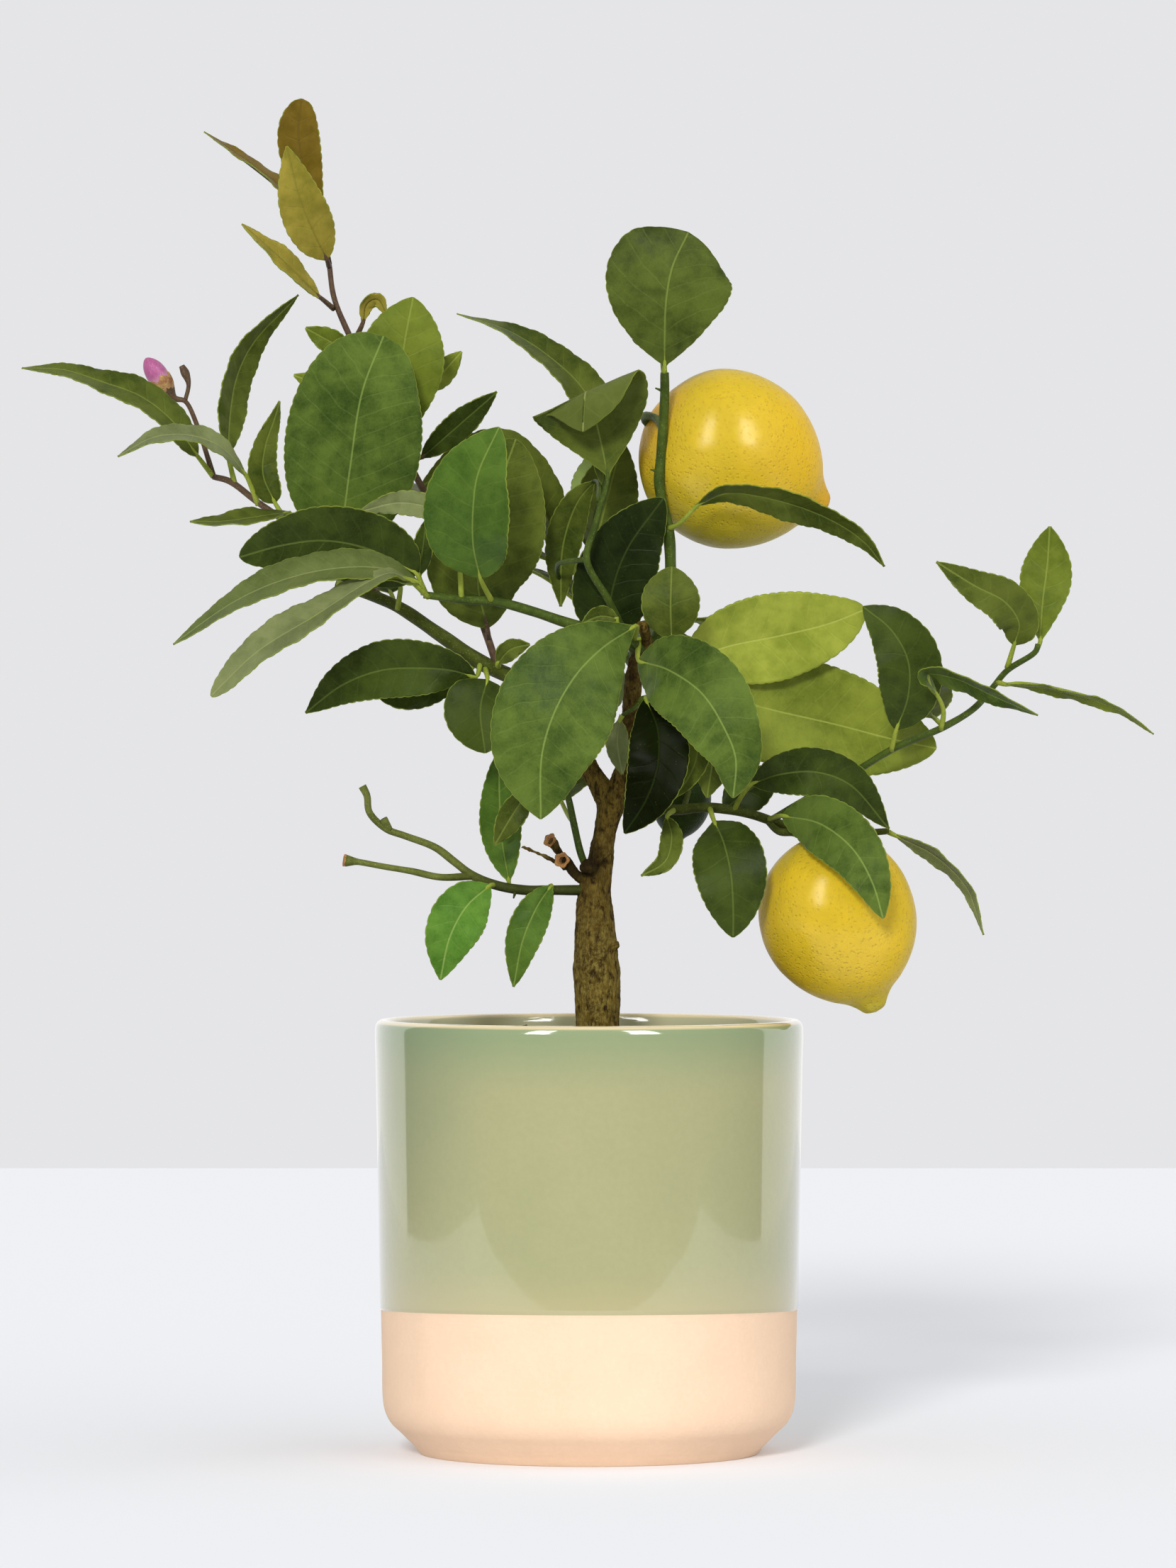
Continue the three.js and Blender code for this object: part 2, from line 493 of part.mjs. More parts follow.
const RIGHT_SHOOT = {
  stems: [
    [[76, 5, 267, 1.6], [93, 6, 277, 1.6], [114, 4, 289, 1.5], [129, 0, 298, 1.5], [150, -8, 307, 1.5],
      [163, -15, 315, 1.4], [171, -20, 324, 1.3], [177, -25, 331, 1.3], [189, -32, 339, 1.2],
      [190, -33, 342, 1.2]],
  ],
  leaves: [
    { from: [128, 0, 297], rib: [[130, -6, 306], [135, -11, 320], [135, -14, 335], [128, -14, 348],
      [116, -10, 358]], width: 28, full: 0.7, turn: [5, 5] },
    { from: [149, -8, 306], bend: [[150, -14, 314]], rib: [[147, -20, 321], [143, -27, 329],
      [154, -36, 328],
      [172, -43, 320], [190, -46, 312]], width: 15, turn: [60, 66] },
    { from: [177, -25, 332], rib: [[180, -29, 342], [182, -36, 351], [176, -42, 360], [163, -46, 367],
      [147, -46, 377]], width: 19, belly: 0.36, full: 0.8 },
    { from: [189, -32, 339], rib: [[191, -30, 343], [192, -27, 360], [194, -25, 376], [195, -26, 392]],
      width: 22, belly: 0.55 },
    { from: [173, -22, 326], rib: [[177, -28, 325], [195, -38, 323], [223, -50, 315], [239, -55, 304]],
      width: 10, turn: [68, 68] },
    { from: [150, -8, 307.5], rib: [[146, 4, 311], [140, 24, 321], [133, 44, 327]], width: 26,
      face: [-0.2, 0.3, 1] },
  ],
};

const LOW_BRANCH = {
  stems: [
    [[2, 0, 238, 2.2], [-15, -4, 238, 2.1], [-27, -3, 238, 2.1], [-39, -1, 240, 2], [-49, 0, 244, 1.9],
      [-57, 2, 250, 1.7], [-65, 3, 256, 1.6], [-78, 4, 261, 1.5], [-86, 4, 264, 1.5], [-93, 3, 271, 1.4],
      [-94, 2, 278, 1.5], [-96, 2, 282, 1.7]],
    [[-49, 0, 244, 1.6], [-63, -2, 243.5, 1.5], [-75, -4, 246, 1.4], [-87, -6, 248, 1.3],
      [-98, -7, 250, 1.3],
      [-103, -7, 250.5, 2.6]],
    [[-31, -3, 238, 0.9], [-32, -4, 234.5, 0.3]],
    [[-84, 4, 263, 1.3], [-87, 2, 268, 1.9]],
  ],
  leaves: [
    { from: [-40, -1, 240], rib: [[-42, -6, 240], [-52, -12, 231], [-59, -15, 218], [-63, -14, 200]],
      width: 24 },
    { from: [-16, -4, 238], rib: [[-16, -8, 240], [-22, -14, 231], [-28, -18, 217], [-32, -18, 197]],
      width: 16 },
    { from: [-34, -2, 239], rib: [[-34, 5, 242], [-37, 9, 260], [-38, 9, 280], [-38, 6, 298]], width: 18 },
  ],
};

const GREEN_TWIG = {
  stems: [
    [[1, -2, 244, 1.5], [-3, -5, 252, 1.5], [-6, -8, 264, 1.5], [-8.5, -10, 276, 1.4],
      [-12, -12, 288, 1.2]],
  ],
  leaves: [
    { from: [-9, -10, 277], bend: [[-17, -11, 283]], rib: [[-25, -11, 281], [-33, -13, 269],
      [-40, -12, 257]],
      width: 12 },
    { from: [-6, -8, 266], bend: [[-9, 6, 270]], rib: [[-12, 18, 276], [-15, 40, 286], [-16, 62, 284]],
      width: 32, face: [0, -0.2, 1] },
  ],
};

const BACK_SHOOT = {
  stems: [
    [[20, 0, 331, 2], [14, 14, 340, 1.9], [8, 32, 354, 1.8], [3, 52, 370, 1.6], [0, 70, 388, 1.4]],
  ],
  leaves: [
    { from: [0, 70, 387], rib: [[1, 76, 393], [6, 84, 410], [9, 88, 430]],
      width: 27, face: [0, 1, 0.3] },
    { from: [3, 52, 370], rib: [[10, 58, 376], [26, 74, 388], [36, 90, 392]],
      width: 32, face: [0.3, 0.4, 1] },
    { from: [4, 50, 368], rib: [[-4, 56, 372], [-22, 70, 380], [-38, 82, 378]], width: 30,
      face: [-0.3, 0.4, 1] },
    { from: [8, 32, 354], rib: [[-3, 38, 360], [-19, 54, 371], [-34, 68, 377]], width: 28,
      face: [-0.3, 0.5, 1] },
    { from: [9, 30, 352], rib: [[16, 38, 350], [28, 60, 344], [36, 84, 330]],
      width: 32, face: [0.3, 0.4, 1] },
    { from: [14, 14, 340], rib: [[8, 24, 334], [2, 44, 322], [0, 66, 304]], width: 30, face: [0, 0.6, 1] },
  ],
};

// ---- Pot and soil ----
function turned(outline, facets) {
  const profile = outline.map(([radius, height]) => new THREE.Vector2(radius, height));
  return new THREE.LatheGeometry(profile, facets).rotateX(Math.PI / 2);
}

// The pot's section, from the centre of the underside out, up over the lip and down inside.
function potSolid() {
  const inner = POT_RADIUS - POT_WALL;
  const glazed = POT_RADIUS - 2.4 + GLAZE_THICKNESS;
  return solidOf(turned([
    [0, 0], [FOOT_RADIUS, 0], [FOOT_RADIUS + 1.8, 3], [POT_RADIUS - 11.2, 8.6], [POT_RADIUS - 6.4, 13.4],
    [POT_RADIUS - 3.8, 19.5], [POT_RADIUS - 3, 40], [POT_RADIUS - 2.55, GLAZE_EDGE_HEIGHT - 0.8],
    [glazed, GLAZE_EDGE_HEIGHT + 0.6], [POT_RADIUS - 1.1, 120], [POT_RADIUS - 0.3, 165],
    [POT_RADIUS, 177.5], [POT_RADIUS - 0.4, 181.2], [POT_RADIUS - 1.9, 183], [POT_RADIUS - 3.6, POT_HEIGHT],
    [POT_RADIUS - 5.4, 182.2], [inner, 179], [inner, 165], [inner - 2.3, 40], [inner - 6.3, 16],
    [inner - 14, POT_FLOOR], [0, POT_FLOOR],
  ], POT_FACETS));
}

function soilSolid(buriedTrunk) {
  const edge = POT_RADIUS - POT_WALL - GAP;
  const shape = turned([
    [0, POT_FLOOR + GAP], [edge - 14.6, POT_FLOOR + GAP], [edge - 6.4, 16.6], [edge - 2.3, 40], [edge, 165],
    [edge, SOIL_HEIGHT - 2], [edge - 5, SOIL_HEIGHT], [70, SOIL_HEIGHT], [57, SOIL_HEIGHT], [42, SOIL_HEIGHT],
    [24, SOIL_HEIGHT], [0, SOIL_HEIGHT],
  ], SOIL_FACETS);
  const spots = shape.attributes.position;
  for (let i = 0; i < spots.count; i += 1) {
    const across = spots.getX(i);
    const depth = spots.getY(i);
    const isTop = spots.getZ(i) >= SOIL_HEIGHT - 0.01 && Math.hypot(across, depth) > 1;
    const lump = Math.sin(across * 0.21 + depth * 0.13) + Math.sin(across * 0.11 - depth * 0.29 + 1.7);
    if (isTop) spots.setZ(i, SOIL_HEIGHT + SOIL_ROUGHNESS * lump);
  }
  const parts = [solidOf(shape), ...soilChips()];
  return mainBody(without(joined(parts), buriedTrunk));
}

// Chips of bark and clay, half sunk into the soil.
function soilChips() {
  const draw = randomDraw(41);
  const chips = [];
  for (let i = 0; i < SOIL_CHIPS; i += 1) {
    const angle = (i + 0.6 * draw()) * (2 * Math.PI / SOIL_CHIPS);
    const reach = 28 + 44 * draw();
    const chip = new THREE.BoxGeometry(5 + 5 * draw(), 3 + 2 * draw(), 5);
    chip.rotateX(0.5 * draw()).rotateY(0.5 * draw()).rotateZ(3 * draw());
    chip.translate(reach * Math.cos(angle), reach * Math.sin(angle), SOIL_HEIGHT + 0.4);
    chips.push(solidOf(chip));
  }
  return chips;
}

// ---- Trunk ----
function barkRelief(angle, along) {
  return 1 + 0.05 * Math.sin(3 * angle + 9 * along) + 0.035 * Math.sin(5 * angle - 14 * along + 1);
}

function trunkParts(extra) {
  return [
    stem(TRUNK_LINE, { sides: TRUNK_SIDES, steps: 2, relief: barkRelief, extra }),
    stem(LEFT_LIMB_LINE, { sides: LIMB_SIDES, steps: 2, relief: barkRelief, extra }),
    stem(RIGHT_LIMB_LINE, { sides: LIMB_SIDES, steps: 2, relief: barkRelief, extra }),
    stem(CUT_STUB_LINE, { sides: LIMB_SIDES, extra }),
    ...TRUNK_SCARS.map((scar) => stem(scar, { extra })),
  ].map(solidOf);
}

// ---- Fruit and bud ----
// Outlines from the stalk end to the far end, as [part of the length, part of the radius].
const LEMON_OUTLINE = [
  [0, 0], [0, 0.17], [0.02, 0.27], [0.055, 0.47], [0.12, 0.69], [0.21, 0.86], [0.33, 0.97], [0.45, 1],
  [0.58, 0.955], [0.7, 0.83], [0.79, 0.67], [0.86, 0.48], [0.905, 0.31], [0.945, 0.21], [0.985, 0.13], [1, 0],
];
const BUD_OUTLINE = [
  [0, 0], [0, 0.3], [0.1, 0.62], [0.28, 0.92], [0.5, 1], [0.72, 0.86], [0.88, 0.56], [0.97, 0.25], [1, 0],
];

function fruit(outline, { radius, length, stalkEnd, nipple }, facets, extra = 0) {
  const shape = turned(outline.map(([along, out]) => [
    out === 0 ? 0 : out * radius + extra,
    along * (length + 2 * extra) - extra,
  ]), facets);
  const from = place(stalkEnd);
  const axis = place(nipple).sub(from).normalize();
  shape.applyQuaternion(new THREE.Quaternion().setFromUnitVectors(new THREE.Vector3(0, 0, 1), axis));
  return shape.translate(from.x, from.y, from.z);
}

// ---- Leafy stems ----
// Each is its stems and leaves joined into one body, cut clear of what carries it.
function leafyStem({ stems, leaves }, carriers) {
  const parts = stems.map((line) => solidOf(stem(line)));
  leaves.forEach((shape) => parts.push(leaf(shape)));
  return mainBody(without(joined(parts), carriers));
}

function thickened({ stems }) {
  return stems.map((line) => solidOf(stem(line, { extra: GAP })));
}

const lemon = (shape, facets, extra) => solidOf(fruit(LEMON_OUTLINE, shape, facets, extra));
const budSolid = (extra) => solidOf(fruit(BUD_OUTLINE, BUD, SMALL_FRUIT_FACETS, extra));

const trunkClear = trunkParts(GAP);
const buriedTrunk = solidOf(stem(TRUNK_LINE.slice(0, 4), { sides: TRUNK_SIDES, extra: SOIL_HOLE_GAP }));

const tree = new THREE.Group();
tree.add(
  meshOf("pot", potSolid(), CLAY),
  meshOf("soil", soilSolid([buriedTrunk]), SOIL),
  meshOf("trunk", joined(trunkParts(0)), BARK),
  meshOf("left_branch", leafyStem(LEFT_BRANCH, trunkClear), LEAF_GREEN),
  meshOf("top_shoot", leafyStem(TOP_SHOOT, thickened(LEFT_BRANCH)), LEAF_BRONZE),
  meshOf("left_shoot", leafyStem(LEFT_SHOOT, [...thickened(LEFT_BRANCH), budSolid(GAP)]), LEAF_GREEN),
  meshOf("front_shoot", leafyStem(FRONT_SHOOT, trunkClear), LEAF_LIME),
  meshOf("centre_shoot", leafyStem(CENTRE_SHOOT, trunkClear), LEAF_GREEN),
  meshOf("upright_shoot", leafyStem(
    UPRIGHT_SHOOT,
    [...trunkClear, lemon(UPPER_LEMON, LEMON_FACETS, GAP)],
  ), LEAF_GREEN),
  meshOf("fork_spray", leafyStem(FORK_SPRAY, trunkClear), LEAF_LIME),
  meshOf("right_branch", leafyStem(
    RIGHT_BRANCH,
    [...trunkClear, lemon(LOWER_LEMON, LEMON_FACETS, GAP), lemon(UNRIPE_LEMON, SMALL_FRUIT_FACETS, GAP)],
  ), LEAF_GREEN),
  meshOf("right_shoot", leafyStem(RIGHT_SHOOT, thickened(RIGHT_BRANCH)), LEAF_GREEN),
  meshOf("low_branch", leafyStem(LOW_BRANCH, trunkClear), LEAF_DARK),
  meshOf("green_twig", leafyStem(GREEN_TWIG, trunkClear), LEAF_DARK),
  meshOf("back_shoot", leafyStem(BACK_SHOOT, trunkClear), LEAF_DARK),
  meshOf("upper_lemon", lemon(UPPER_LEMON, LEMON_FACETS), LEMON_YELLOW),
  meshOf("lower_lemon", lemon(LOWER_LEMON, LEMON_FACETS), LEMON_YELLOW),
  meshOf("unripe_lemon", lemon(UNRIPE_LEMON, SMALL_FRUIT_FACETS), LEMON_GREEN),
  meshOf("flower_bud", budSolid(0), BUD_PINK),
);

export default tree;
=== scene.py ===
"""A potted lemon tree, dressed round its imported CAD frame.

Every leaf, stem and fruit repeats the place and form of its CAD node and stands for it. Lengths in the
tables are in millimetres, and metres() or place() takes them into the scene.
"""

import math
import random
from collections import namedtuple

import bmesh
import bpy
import numpy as np
from mathutils import Matrix, Vector, noise
from mathutils.geometry import interpolate_bezier


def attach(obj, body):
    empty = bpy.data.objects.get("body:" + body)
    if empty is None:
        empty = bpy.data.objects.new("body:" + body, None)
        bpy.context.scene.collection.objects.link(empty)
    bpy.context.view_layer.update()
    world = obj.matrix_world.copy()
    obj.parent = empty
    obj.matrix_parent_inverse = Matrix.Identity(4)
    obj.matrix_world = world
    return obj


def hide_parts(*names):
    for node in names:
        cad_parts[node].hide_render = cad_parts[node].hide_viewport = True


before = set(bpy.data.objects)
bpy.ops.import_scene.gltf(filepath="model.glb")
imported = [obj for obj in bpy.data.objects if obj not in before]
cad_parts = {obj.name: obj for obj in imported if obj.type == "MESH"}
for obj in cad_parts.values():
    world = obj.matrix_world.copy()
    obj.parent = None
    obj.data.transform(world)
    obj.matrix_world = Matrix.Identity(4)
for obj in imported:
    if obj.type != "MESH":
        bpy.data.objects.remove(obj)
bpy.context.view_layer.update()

MM = 0.001

# ---- Driving dimensions, in millimetres ----
POT_RADIUS = 90.6
POT_HEIGHT = 183.3
POT_WALL = 6.2
POT_FLOOR = 10
FOOT_RADIUS = 72
GLAZE_EDGE_HEIGHT = 61
GLAZE_THICKNESS = 0.35
DIP_TILT = 3.6  # how much higher the glaze ends at the front than at the sides
DIP_REACH = 26
SOIL_HEIGHT = 173.5
SOIL_GAP = 0.35  # between the soil and the pot
# The bark's painted shade is darkest at this point.
SHADED_JOIN = (-5, -8, 251)  # where the stubs, the low branch and the green twig leave the trunk

BLADE_THICKNESS = 0.45
BLADE_LEAST = 0.95  # the least half width of a blade at its base, which is halved toward the tip
TOOTH_DEPTH = 0.42  # of the crenate margin
STATIONS_PER_TOOTH = 4
VEIN_SPACING = 8.5
RIPPLE, CRIMP, PUCKER, GROOVE = 0.6, 0.35, 0.16, 0.3  # heights of a blade's relief
JOINT_RADIUS, STALK_RADIUS = 1.25, 1.0
MIDRIB_TAPER, MIDRIB_TIP = 0.9, 0.12  # radii: what it loses on its way, and what is left
LONG_BLADE = 60
SHORT_BLADE = 34

Fruit = namedtuple("Fruit", "radius length stalk_end tip")
UPPER_LEMON = Fruit(38, 86.5, (25, 25, 437.5), (102, 37, 399))
LOWER_LEMON = Fruit(33, 79, (92, -9, 259.5), (121, -4, 187.5))
UNRIPE_LEMON = Fruit(12.6, 34, (41, 22, 291), (37, 26, 259))
BUD = Fruit(4.7, 16.4, (-178.6, 32, 449.8), (-187.8, 32, 463.4))

# ---- The light of the room: low down, overhead and from the white wall behind ----
ROOM_LIGHT = 0.29
CEILING_LIGHT = 0.38
ROOM_SHINE = 0.4  # of that, how much a glossy surface shows
WALL_COLOUR = "E5E5E7"
WALL_LIGHT = 0.5
WALL_SHINE = 1.0  # the wall as a glossy surface shows it
WALL_FROM = 0.386  # how far round to the back the white wall begins
WALL_SKEW = 0.084  # and how much sooner on the right
WALL_BLEND = 0.02
SOFTBOXES = ((-28.5, 7.5), (31, 9))  # azimuth and half width of the two in the gloss, in degrees
SOFTBOX_LOW, SOFTBOX_HIGH, SOFTBOX_BLEND = 14, 52, 1.5  # elevations and the width of the soft edge
SOFTBOX_GLOW = 11
# Each lamp's name, azimuth, elevation, strength, how wide it looks, and whether it casts shadows.
LAMPS = (
    ("key_light", -10, 22, 2.2, 11, True),
    ("right_fill", 74, 20, 1.3, 110, True),
    ("left_fill", -75, 20, 0.75, 110, True),
    ("left_bounce", -31, 24, 0.3, 15, False),
    ("right_bounce", 31, 24, 0.4, 15, False),
)

# ---- The view: the eye's height and its distance from the trunk ----
EYE_HEIGHT = 297
VIEW_DISTANCE = 3525
LENS = 191.2
SENSOR = 36
FRAME_DROP = -0.0212  # how far the picture's middle lies below the eye, as a part of its height
FRAME_LEFT = -0.45  # how far the eye stands to the side of the pot's middle
FLOOR_SIDE = 1220  # the floor is a table top, and the glaze shows where it ends
FLOOR_FRONT = -673
FLOOR_BACK = 2400  # where it ends and the plain wall begins, as the eye sees it


def metres(x, y, z):
    return Vector((x, y, z)) * MM


def in_metres(outline):
    return [(radius * MM, height * MM) for radius, height in outline]


def place(spot):
    """[across, depth, height], as it looks from the front against the trunk's plane, at its real place."""
    across, depth, height = spot[:3]
    spread = 1 + depth / VIEW_DISTANCE
    return metres(across * spread, depth, EYE_HEIGHT + (height - EYE_HEIGHT) * spread)


# ---- Camera, light and floor ----
def add_camera():
    camera = bpy.data.cameras.new("camera")
    camera.lens = LENS
    camera.sensor_width = SENSOR
    camera.shift_y = FRAME_DROP
    camera.clip_end = 60
    seat = bpy.data.objects.new("camera", camera)
    seat.location = metres(FRAME_LEFT, -VIEW_DISTANCE, EYE_HEIGHT)
    seat.rotation_euler = (math.pi / 2, 0, 0)
    bpy.context.scene.collection.objects.link(seat)
    bpy.context.scene.camera = seat


def add_lamp(name, azimuth, elevation, strength, breadth, casts):
    """A soft lamp far off, its azimuth counted from the camera's side to the right, with angles in degrees.
    Glossy surfaces show the softboxes of the world instead."""
    lamp = bpy.data.lights.new(name, "SUN")
    lamp.energy = strength
    lamp.angle = math.radians(breadth)
    lamp.use_shadow = casts
    seat = bpy.data.objects.new(name, lamp)
    seat.rotation_euler = (math.radians(90 - elevation), 0, math.radians(azimuth))
    seat.visible_glossy = False
    bpy.context.scene.collection.objects.link(seat)


def add_wall_and_sky():
    """The plain wall, as the eye sees it, and the dimmer room that lights the tree from all round."""
    world = bpy.data.worlds.new("wall")
    world.use_nodes = True
    nodes = Nodes(world.node_tree)
    wall = nodes.tree.nodes["Background"]
    wall.inputs["Color"].default_value = (*srgb(WALL_COLOUR), 1)
    x, y, z = nodes.axes(nodes.add("ShaderNodeTexCoord").outputs["Generated"])
    ray = nodes.add("ShaderNodeLightPath").outputs
    glossy = ray["Is Glossy Ray"]

    shown = nodes.math("MULTIPLY_ADD", glossy, ROOM_SHINE - 1, 1)
    glow = nodes.times(nodes.between(z, 0, 1, ROOM_LIGHT, CEILING_LIGHT), shown)
    wall_glow = nodes.math("MULTIPLY_ADD", glossy, WALL_SHINE - WALL_LIGHT, WALL_LIGHT)
    behind = nodes.between(nodes.math("MULTIPLY_ADD", x, WALL_SKEW, y), WALL_FROM, WALL_FROM + WALL_BLEND)
    glow = nodes.math("MAXIMUM", glow, nodes.times(behind, wall_glow))

    azimuth = nodes.math("ARCTAN2", x, nodes.times(y, -1))
    low, high, soft = [math.radians(angle) for angle in (SOFTBOX_LOW, SOFTBOX_HIGH, SOFTBOX_BLEND)]
    tall = nodes.times(nodes.between(z, math.sin(low), math.sin(low + soft)),
                       nodes.between(z, math.sin(high), math.sin(high - soft)))
    for centre, half_width in SOFTBOXES:
        aside = nodes.math("ABSOLUTE", nodes.math("SUBTRACT", azimuth, math.radians(centre)))
        half = math.radians(half_width)
        box = nodes.times(nodes.between(aside, half, half - soft), tall)
        glow = nodes.math("ADD", glow, nodes.times(box, nodes.times(glossy, SOFTBOX_GLOW)))

    room = nodes.add("ShaderNodeBackground", {"Color": (1, 1, 1, 1), "Strength": glow})
    both = nodes.add("ShaderNodeMixShader", {0: ray["Is Camera Ray"], 1: room.outputs[0], 2: wall.outputs[0]})
    nodes.tree.links.new(both.outputs[0], nodes.tree.nodes["World Output"].inputs["Surface"])
    bpy.context.scene.world = world


def add_studio():
    add_wall_and_sky()
    bpy.context.scene.view_settings.view_transform = "Standard"
    for lamp in LAMPS:
        add_lamp(*lamp)
    shape = bmesh.new()
    bmesh.ops.create_grid(shape, x_segments=1, y_segments=1, size=0.5)
    bmesh.ops.scale(shape, vec=metres(2 * FLOOR_SIDE, FLOOR_BACK - FLOOR_FRONT, 1), verts=shape.verts)
    bmesh.ops.translate(shape, vec=metres(0, (FLOOR_BACK + FLOOR_FRONT) / 2, 0), verts=shape.verts)
    new_object("floor", shape, [floor_finish()])


# ---- Finishes ----
def srgb(code):
    """The linear red, green and blue of a colour written as six hex digits."""
    parts = [int(code[i:i + 2], 16) / 255 for i in (0, 2, 4)]
    return tuple(p / 12.92 if p <= 0.04045 else ((p + 0.055) / 1.055) ** 2.4 for p in parts)


class Nodes:
    """Puts nodes in a tree. An input is a number, a colour, or the socket of another node that feeds it."""

    def __init__(self, tree):
        self.tree = tree

    def feed(self, socket, value):
        if isinstance(value, bpy.types.NodeSocket):
            self.tree.links.new(value, socket)
        else:
            socket.default_value = value

    def add(self, kind, inputs=None, **settings):
        made = self.tree.nodes.new(kind)
        for name, value in settings.items():
            setattr(made, name, value)
        for name, value in (inputs or {}).items():
            self.feed(made.inputs[name], value)
        return made

    def math(self, operation, a, b=0.0, c=0.0):
        return self.add("ShaderNodeMath", {0: a, 1: b, 2: c}, operation=operation).outputs[0]

    def times(self, a, b):
        return self.math("MULTIPLY", a, b)

    def between(self, value, low, high, out_low=0.0, out_high=1.0):
        """value taken smoothly from low..high to out_low..out_high."""
        inputs = {"Value": value, "From Min": low, "From Max": high, "To Min": out_low, "To Max": out_high}
        return self.add("ShaderNodeMapRange", inputs, interpolation_type="SMOOTHSTEP").outputs["Result"]

    def axes(self, where):
        return self.add("ShaderNodeSeparateXYZ", {0: where}).outputs

    def noise(self, where, scale, detail=3.0, roughness=0.5):
        inputs = {"Vector": where, "Scale": scale, "Detail": detail, "Roughness": roughness}
        return self.add("ShaderNodeTexNoise", inputs).outputs["Fac"]

    def cells(self, where, scale, feature="F1"):
        inputs = {"Vector": where, "Scale": scale}
        return self.add("ShaderNodeTexVoronoi", inputs, feature=feature).outputs["Distance"]

    def shared(self, name, inputs):
        """What a shader node group that several finishes share puts out here."""
        if name not in GROUPS:
            GROUPS[name] = GROUP_MAKERS[name]()
        return self.add("ShaderNodeGroup", inputs, node_tree=GROUPS[name]).outputs


def new_group(name, inputs, outputs):
    """An empty shader node group, its Nodes, its input node and its output node."""
    group = bpy.data.node_groups.new(name, "ShaderNodeTree")
    for side, sockets in (("INPUT", inputs), ("OUTPUT", outputs)):
        for socket, kind in sockets.items():
            group.interface.new_socket(name=socket, in_out=side, socket_type="NodeSocket" + kind)
    nodes = Nodes(group)
    return group, nodes, nodes.add("NodeGroupInput").outputs, nodes.add("NodeGroupOutput").inputs


def mottle_group():
    """Soft patches in two sizes, for leaves, glaze, clay, peel and bark."""
    group, nodes, given, out = new_group(
        "mottle", {"Where": "Vector", "Scale": "Float", "Contrast": "Float"}, {"Mask": "Float"})
    large = nodes.noise(given["Where"], given["Scale"], 2)
    small = nodes.noise(given["Where"], nodes.times(given["Scale"], 4.3), 4, 0.6)
    both = nodes.math("MULTIPLY_ADD", small, 0.4, nodes.times(large, 0.6))
    centred = nodes.math("SUBTRACT", both, 0.5)
    mask = nodes.math("MULTIPLY_ADD", centred, given["Contrast"], 0.5)
    group.links.new(nodes.between(mask, 0, 1), out["Mask"])
    return group


def pore_group():
    """Round pits, for peel and for the oil dots of a leaf: how deep each point lies in one."""
    group, nodes, given, out = new_group(
        "pores", {"Where": "Vector", "Scale": "Float", "Size": "Float"}, {"Depth": "Float"})
    distance = nodes.cells(given["Where"], given["Scale"])
    group.links.new(nodes.between(distance, 0, given["Size"], 1, 0), out["Depth"])
    return group


def vein_group():
    """A leaf's veins. Vein counts the side veins from the base, Rib is the distance from the midrib and
    Margin the distance from the margin, both in centimetres."""
    group, nodes, given, out = new_group(
        "leaf_veins",
        {"Where": "Vector", "Vein": "Float", "Rib": "Float", "Margin": "Float"},
        {"Midrib": "Float", "Side": "Float", "Net": "Float", "Edge": "Float"})
    wander = nodes.math("MULTIPLY_ADD", nodes.noise(given["Where"], 90, 1), 0.5, given["Vein"])
    saw = nodes.math("PINGPONG", wander, 0.5)
    fade = nodes.between(given["Margin"], 0, 0.5)
    side = nodes.times(nodes.between(saw, 0.0, 0.07, 1, 0), fade)
    net = nodes.between(nodes.cells(given["Where"], 620, "DISTANCE_TO_EDGE"), 0, 0.16, 1, 0)
    group.links.new(nodes.between(given["Rib"], 0.02, 0.055, 1, 0), out["Midrib"])
    group.links.new(side, out["Side"])
    group.links.new(net, out["Net"])
    group.links.new(nodes.between(given["Margin"], 0.012, 0.04, 1, 0), out["Edge"])
    return group


GROUP_MAKERS = {"mottle": mottle_group, "pores": pore_group, "leaf_veins": vein_group}
GROUPS = {}


